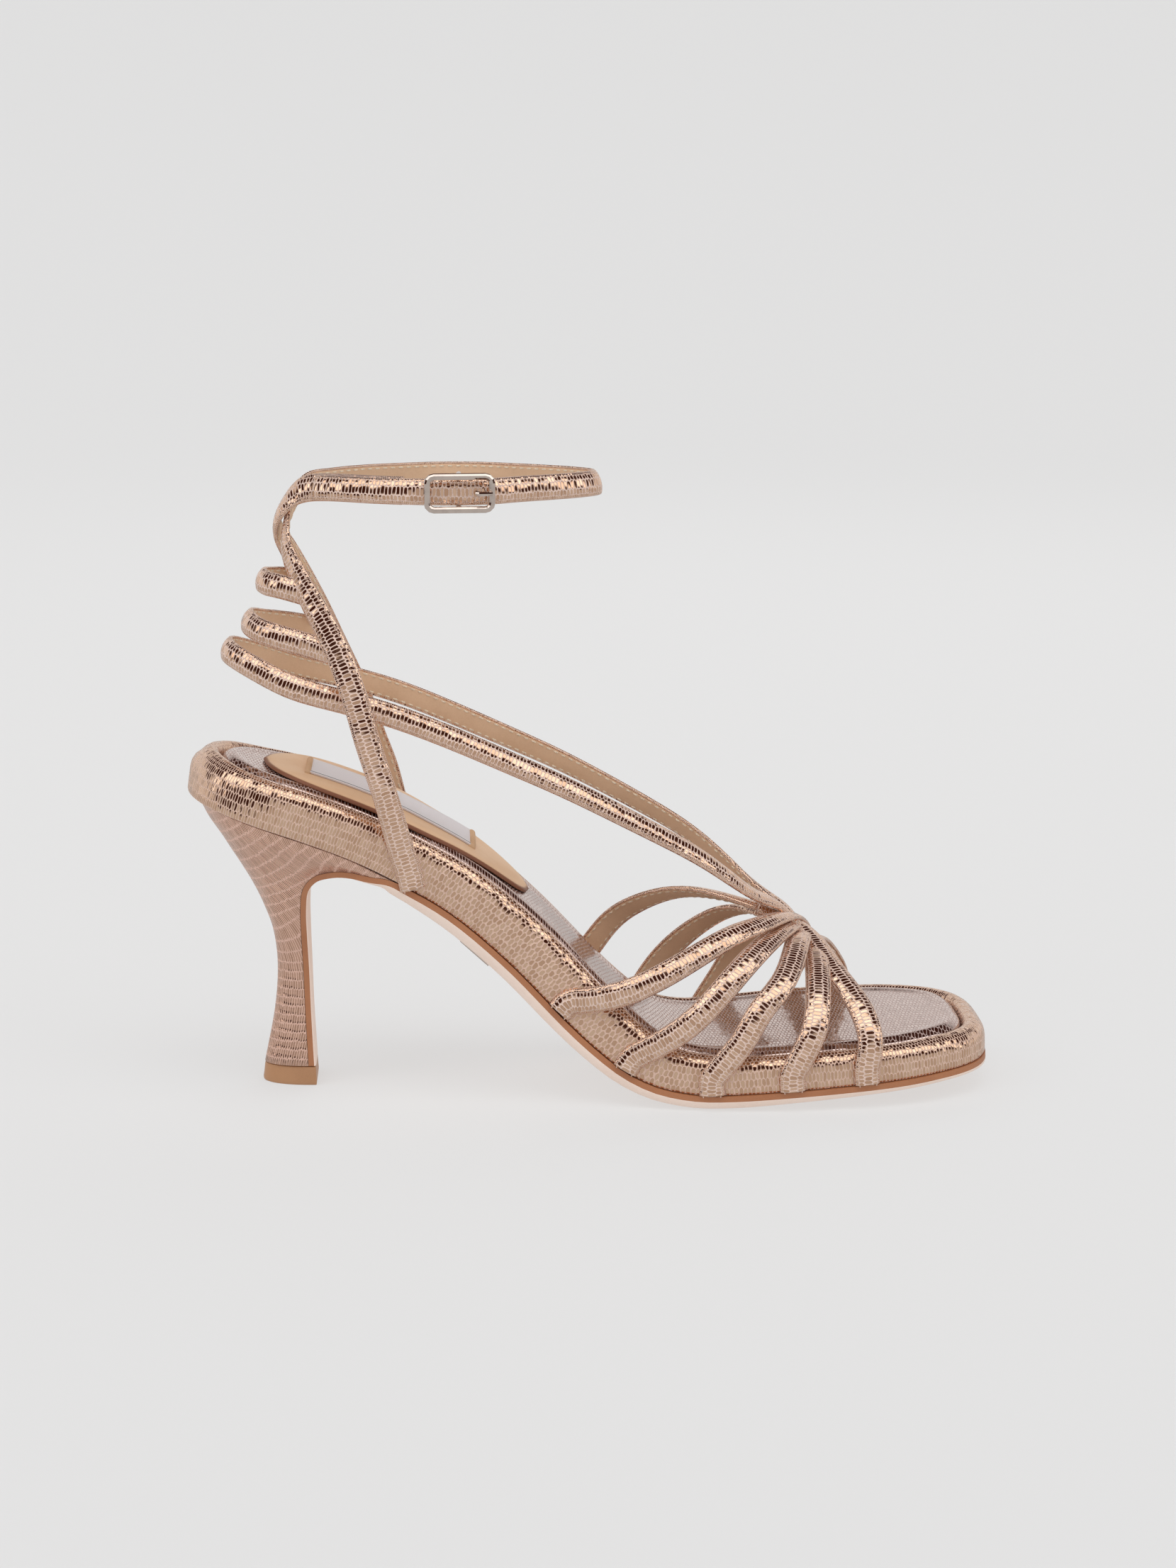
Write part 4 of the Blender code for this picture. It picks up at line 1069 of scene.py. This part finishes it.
def strap_row(reach):
    """Row of cells at a reach in millimetres from the middle of a strap's front."""
    for (a, low), (b, high) in zip(STRAP_ROWS, STRAP_ROWS[1:]):
        if reach <= b:
            return 0.5 + low + (high - low) * (reach - a) / (b - a)
    return 0.5 + STRAP_ROWS[-1][1]


def eased(points, rounds):
    """Run of points with small kinks rounded off and its ends kept."""
    for _ in range(rounds):
        points = [points[0]] + [(a + b * 2 + c) / 4 for a, b, c in
                                zip(points, points[1:], points[2:])] + [points[-1]]
    return points


def strap(name, path, width, thickness, stands_for=(), stitched=True, widths=None):
    """Sweep the strap's section along its path, map its front in cells and note its seams."""
    places = eased(smooth_run([place for place, _ in path], STRAP_STEPS), EASING)
    faces = eased(smooth_run([face for _, face in path], STRAP_STEPS), EASING)
    shares = smooth_rows([(share,) for share in widths or [1] * len(path)], STRAP_STEPS)
    rings, marks, lines = [], [], {-1: [], 1: []}
    travelled = 0.0
    for k, (place, face) in enumerate(zip(places, faces)):
        wide = width * shares[k][0]
        before, after = places[max(k - 1, 0)], places[min(k + 1, len(places) - 1)]
        run = (after - before).normalized()
        out = (face - run * face.dot(run)).normalized()
        across = run.cross(out)
        travelled += (place - before).length if k else 0
        ring = [place + across * u * wide + out * v * thickness for u, v in STRAP_SECTION]
        rings.append(ring)
        spread = [0.0]
        for a, b in zip(ring, ring[1:]):
            spread.append(spread[-1] + (b - a).length)
        middle = spread[FRONT_POINTS // 2]
        row = [(travelled / STRAP_CELL, strap_row((reach - middle) / MM)) for reach in spread]
        marks.append(row + [row[-1]])
        for side in lines:
            lines[side].append((place + across * side * SEAM_ASIDE * wide, out))
    piece = skin(name, rings, marks, looks=(strap_foil, strap_lining),
                 faces_look=lambda r, k: 0 if k < FRONT_POINTS - 1 else 1)
    close_holes(piece)
    wears(piece, "foil_leather", *stands_for)
    for line in lines.values() if stitched else ():
        seams["front"].append([(p + out * SEAM_ON_FOIL * thickness, out) for p, out in line])
        seams["back"].append([(p + out * SEAM_ON_LINING * thickness, -out) for p, out in line])


def build_vamp_straps():
    for k, (row, ends) in enumerate(zip(VAMP_STRAPS, KNOT_ENDS)):
        side = "outer" if row[0] == OUTER else "inner"
        strap(f"{side}_vamp_strap_{k % 5 + 1}", vamp_path(row, ends), STRAP_WIDTH,
              STRAP_THICKNESS, stands_for=() if k else ("upper",))


build_vamp_straps()


# Knot. The bundle's core lies along the crest under the wrapped strap. It is drawn tight, so
# that it tapers to both ends: along, share of its width, lift in millimetres.
KNOT_CORE = [(0.712, 0.45, -1.6), (0.728, 0.8, -1.2), (0.748, 1.0, -0.9), (0.772, 1.0, -1.0),
             (0.792, 0.75, -1.4), (0.806, 0.35, -2.0)]
KNOT_CORE_WIDTH = 9.5 * MM
KNOT_CORE_THICKNESS = 2.2 * MM

strap("knot_core", [instep_point(along, 0, OUTER, lift * MM) for along, _, lift in KNOT_CORE],
      KNOT_CORE_WIDTH, KNOT_CORE_THICKNESS, stitched=False,
      widths=[width for _, width, _ in KNOT_CORE])


# Back straps. A long strap runs from the knot round behind the heel and back, and two shorter
# loops are caught under the risers. All are the same folded, lined strap. Rows give along,
# across in ball widths, height in ankle heights, and how far the face leans back.
LONG_STRAP = [
    (0.757, 0.002, 0.256, 2.60), (0.735, -0.010, 0.288, 2.40), (0.705, -0.085, 0.312, 1.40),
    (0.675, -0.155, 0.346, 1.05), (0.628, -0.210, 0.396, 0.86), (0.558, -0.245, 0.450, 0.78),
    (0.470, -0.260, 0.513, 0.76), (0.400, -0.262, 0.556, 0.74), (0.330, -0.264, 0.598, 0.70),
    (0.262, -0.272, 0.635, 0.60), (0.197, -0.270, 0.661, 0.48), (0.140, -0.240, 0.680, 0.38),
    (0.096, -0.170, 0.705, 0.32), (0.064, -0.090, 0.724, 0.35), (0.054, 0.000, 0.730, 0.40),
]
LONG_STRAP_END = [(0.743, 0.024, 0.283, 2.40), (0.762, 0.014, 0.250, 2.60)]
MIDDLE_LOOP = [
    (0.190, -0.265, 0.738, 0.10), (0.160, -0.225, 0.749, 0.15), (0.125, -0.180, 0.759, 0.25),
    (0.093, -0.110, 0.768, 0.40), (0.079, 0.000, 0.778, 0.45),
]
TOP_LOOP = [
    (0.163, -0.165, 0.826, 0.10), (0.142, -0.140, 0.833, 0.15), (0.122, -0.105, 0.838, 0.25),
    (0.106, -0.065, 0.840, 0.30), (0.098, 0.000, 0.844, 0.35),
]
MIDDLE_LOOP_END = [(0.160, 0.200, 0.749, 0.15), (0.177, 0.217, 0.741, 0.10)]
TOP_LOOP_END = [(0.138, 0.120, 0.833, 0.15), (0.151, 0.132, 0.828, 0.10)]
LONG_STRAP_CENTRE = 0.36
LONG_STRAP_TURN = 3
INNER_LEAN = 0.35
LOOP_CENTRE = 0.22
RISER_CENTRE = 0.20
ANKLE_HEIGHT = 162.4 * MM


def free_path(rows, centre_along, turn=1):
    """Path and outward faces of a strap round the leg. The faces look away from a centre, and
    a turn over 1 makes them look more to the side."""
    centre_x = along_to_x(centre_along)
    path = []
    for along, across, height, lean in rows:
        place = Vector((along_to_x(along), across * BALL_WIDTH, height * ANKLE_HEIGHT))
        face = Vector((place.x - centre_x, place.y * turn, 0)).normalized()
        face.z = lean
        path.append((place, face.normalized()))
    return path


def mirrored_rows(rows, end):
    """A half loop's rows carried on to the inner side, the last ones given by its own end."""
    mirror = [(along, -across, height, lean * INNER_LEAN)
              for along, across, height, lean in rows[-2::-1]]
    return rows + mirror[:-len(end)] + end


for name, rows, end, *turned in (
        ("long_back_strap", LONG_STRAP, LONG_STRAP_END, LONG_STRAP_CENTRE, LONG_STRAP_TURN),
        ("middle_back_loop", MIDDLE_LOOP, MIDDLE_LOOP_END, LOOP_CENTRE),
        ("top_back_loop", TOP_LOOP, TOP_LOOP_END, LOOP_CENTRE)):
    strap(name, free_path(mirrored_rows(rows, end), *turned), LOOP_WIDTH, STRAP_THICKNESS)


# Ankle straps. The outer riser crosses behind the ankle, goes round the inner side and the
# front, and ends as the tongue in the buckle. The inner riser crosses outside it and carries
# the buckle.
ANKLE_LENGTH = 83.4 * MM
ANKLE_WIDTH = 44.6 * MM
ANKLE_STRAP_WIDTH = 7.4 * MM
ANKLE_STRAP_THICKNESS = 1.6 * MM
ANKLE_BACK = 0.122
ANKLE_LEAN = 0.3
ANKLE_TURN = 2.2
BUCKLE_ROW = 7

# The lean starts in front of LEAN_FROM along the ring, and fades out over LEAN_FADE before and
# after the buckle
LEAN_FROM = 0.1
LEAN_FADE = 0.12

# Where the risers stand on the wall, and how they cross it: step back along, share of height
OUTER_RISER_FOOT = 0.278
INNER_RISER_FOOT = 0.268
RISER_STEPS = [(0, 0.06), (0.016, 0.40), (0.034, 0.75)]
OUTER_RISER = [
    (0.247, -0.395, 0.520, 0.05), (0.236, -0.385, 0.565, 0.10), (0.225, -0.370, 0.611, 0.10),
    (0.216, -0.345, 0.655, 0.10), (0.205, -0.325, 0.700, 0.10), (0.192, -0.283, 0.743, 0.10),
    (0.175, -0.237, 0.786, 0.10), (0.157, -0.180, 0.828, 0.10), (0.140, -0.120, 0.871, 0.10),
    (0.128, -0.050, 0.915, 0.10),
]
INNER_RISER = [
    (0.243, 0.385, 0.500, 0.05), (0.228, 0.375, 0.551, 0.10), (0.214, 0.345, 0.611, 0.10),
    (0.198, 0.305, 0.665, 0.10), (0.181, 0.250, 0.720, 0.10), (0.164, 0.190, 0.780, 0.10),
    (0.146, 0.130, 0.840, 0.10), (0.130, 0.070, 0.893, 0.10), (0.116, 0.012, 0.936, 0.10),
]

# Ankle ring seen from above, outer half from back to front: along, across, dip of its height
ANKLE_RING = [
    (0.000, 0.00, 0.036), (0.060, 0.16, 0.010), (0.135, 0.38, 0.002), (0.215, 0.60, 0.000),
    (0.300, 0.80, 0.000), (0.390, 0.93, 0.000), (0.480, 0.99, 0.000), (0.560, 1.00, 0.000),
    (0.650, 0.95, 0.000), (0.740, 0.82, 0.000), (0.870, 0.55, 0.000), (0.965, 0.27, 0.000),
    (1.000, 0.00, 0.000),
]


def ankle_ring_point(row, side, lift=0.0):
    """Point of the ankle ring, with its outward face, lifted off its base line."""
    along, across, dip = row
    back = along_to_x(ANKLE_BACK)
    place = Vector((back + along * ANKLE_LENGTH, side * across * ANKLE_WIDTH / 2,
                    ANKLE_HEIGHT * (1 - dip)))
    face = Vector((place.x - (back + ANKLE_LENGTH / 2), place.y * ANKLE_TURN, 0)).normalized()
    lean = ANKLE_LEAN * min(abs(along - ANKLE_RING[BUCKLE_ROW][0]) / LEAN_FADE, 1) ** 2
    leaning = face + Vector((0, 0, lean if along > LEAN_FROM else 0))
    return place + face * lift, leaning.normalized()


def riser_path(foot, rows, side):
    """Path of a riser, which crosses the wrap's wall aslant and goes up to the ankle."""
    return [wall_point(foot - step, share, side) for step, share in RISER_STEPS] \
        + free_path(rows, RISER_CENTRE)


def tongue_path():
    layer = ANKLE_STRAP_THICKNESS + GAP
    over = BUCKLE_ROW + 1
    return riser_path(OUTER_RISER_FOOT, OUTER_RISER, OUTER) \
        + [ankle_ring_point(row, INNER) for row in ANKLE_RING[1:-1]] \
        + [ankle_ring_point(row, OUTER) for row in ANKLE_RING[:over:-1]] \
        + [ankle_ring_point(row, OUTER, layer) for row in ANKLE_RING[over:1:-1]]


def base_path():
    return riser_path(INNER_RISER_FOOT, INNER_RISER, INNER) \
        + [ankle_ring_point(row, OUTER) for row in ANKLE_RING[1:BUCKLE_ROW - 1]]


strap("tongue_strap", tongue_path(), STRAP_WIDTH, ANKLE_STRAP_THICKNESS)
strap("buckle_strap", base_path(), ANKLE_STRAP_WIDTH, ANKLE_STRAP_THICKNESS)


# Stitching. Pale thread runs along both edges of every strap, on the lining in long plain
# stitches and on the foil in short ones sunk between the cells.
STITCH_SHAPE = (1.6, 0.5, 0.36)
STITCH_PITCH = 2.25 * MM


def stitch_tree(thread):
    """Stitches along the edges of a mesh of seam lines, lying on each line's 'out' direction."""
    tree = bpy.data.node_groups.new("stitch_run", "GeometryNodeTree")
    face = tree.interface
    face.new_socket("Geometry", in_out="INPUT", socket_type="NodeSocketGeometry")
    pitch = face.new_socket("Pitch", in_out="INPUT", socket_type="NodeSocketFloat")
    size = face.new_socket("Size", in_out="INPUT", socket_type="NodeSocketVector")
    face.new_socket("Geometry", in_out="OUTPUT", socket_type="NodeSocketGeometry")
    start, end = tree.nodes.new("NodeGroupInput"), tree.nodes.new("NodeGroupOutput")
    out = node(tree, "GeometryNodeInputNamedAttribute", {"data_type": "FLOAT_VECTOR"}, Name="out")
    curve = node(tree, "GeometryNodeMeshToCurve", Mesh=start.outputs["Geometry"])
    spread = node(tree, "GeometryNodeResampleCurve", {"mode": "LENGTH"},
                  Curve=curve.outputs[0], Length=start.outputs["Pitch"])
    tangent = tree.nodes.new("GeometryNodeInputTangent").outputs[0]
    along = node(tree, "FunctionNodeAlignRotationToVector", {"axis": "X"}, Vector=tangent)
    turned = node(tree, "FunctionNodeAlignRotationToVector", {"axis": "Z", "pivot_axis": "X"},
                  Rotation=along.outputs[0], Vector=out.outputs["Attribute"])
    bead = node(tree, "GeometryNodeMeshUVSphere", Segments=6, Rings=5, Radius=0.5)
    placed = node(tree, "GeometryNodeInstanceOnPoints", Points=spread.outputs[0],
                  Instance=bead.outputs[0], Rotation=turned.outputs[0],
                  Scale=start.outputs["Size"])
    real = node(tree, "GeometryNodeRealizeInstances", Geometry=placed.outputs[0])
    smooth = node(tree, "GeometryNodeSetShadeSmooth", Geometry=real.outputs[0])
    painted = node(tree, "GeometryNodeSetMaterial", Geometry=smooth.outputs[0], Material=thread)
    tree.links.new(painted.outputs[0], end.inputs[0])
    return tree, pitch.identifier, size.identifier


def run_stitches(name, lines, tree, thread, pitch, size):
    """Lay the seam lines as a mesh, grow stitches on it and keep them as a plain mesh."""
    mesh = bpy.data.meshes.new(name + "_lines")
    points = [point for line in lines for point, _ in line]
    edges, first = [], 0
    for line in lines:
        edges += [(first + k, first + k + 1) for k in range(len(line) - 1)]
        first += len(line)
    mesh.from_pydata(points, edges, [])
    layer = mesh.attributes.new("out", "FLOAT_VECTOR", "POINT")
    for k, out in enumerate(out for line in lines for _, out in line):
        layer.data[k].vector = out
    holder = link(bpy.data.objects.new(name + "_lines", mesh))
    modifier = holder.modifiers.new("stitches", "NODES")
    modifier.node_group = tree[0]
    modifier[tree[1]] = pitch
    modifier[tree[2]] = size
    bpy.context.view_layer.update()
    shape = holder.evaluated_get(bpy.context.evaluated_depsgraph_get())
    grown = bpy.data.meshes.new_from_object(shape)
    bpy.data.objects.remove(holder, do_unlink=True)
    piece = link(bpy.data.objects.new(name, grown))
    if not grown.materials:
        grown.materials.append(thread)
    wears(piece, "sock_leather")


def thread_material(name, colour):
    made, tree, shader = material(name)
    twist = noise(tree, 3500.0, 1.0).ramp(0.35, 0.65)
    feed(tree, shader, Base_Color=twist.mix([0.7 * part for part in colour], colour),
         Roughness=0.55, Sheen_Weight=0.3)
    return made


cream_thread = thread_material("cream_thread", (0.90, 0.75, 0.57))
rose_thread = thread_material("rose_thread", (0.66, 0.44, 0.34))
run_stitches("lining_stitches", seams["back"], stitch_tree(cream_thread), cream_thread,
             STITCH_PITCH, [part * MM for part in STITCH_SHAPE])
run_stitches("foil_stitches", seams["front"], stitch_tree(rose_thread), rose_thread,
             STITCH_PITCH * 0.8, [part * 0.8 * MM for part in STITCH_SHAPE])


# Buckle and waist plate. Cast and polished in warm silver: a frame with rounded corners, a
# prong that turns on the bar under the strap, and a small bare plate under the waist.
def polished_metal(name, colour, roughness):
    made, tree, shader = material(name)
    haze = noise(tree, 400.0, 3.0)
    feed(tree, shader, Metallic=1.0,
         Base_Color=haze.ramp(0.4, 0.8).mix(colour, [0.85 * part for part in colour]),
         Roughness=haze.ramp(0.3, 0.7, roughness - 0.05, roughness + 0.09))
    return made


buckle_metal = polished_metal("buckle_metal", (0.74, 0.64, 0.58), 0.10)
for name in ("buckle_frame", "buckle_prong", "waist_plate"):
    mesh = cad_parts[name].data
    mesh.materials.clear()
    mesh.materials.append(buckle_metal)
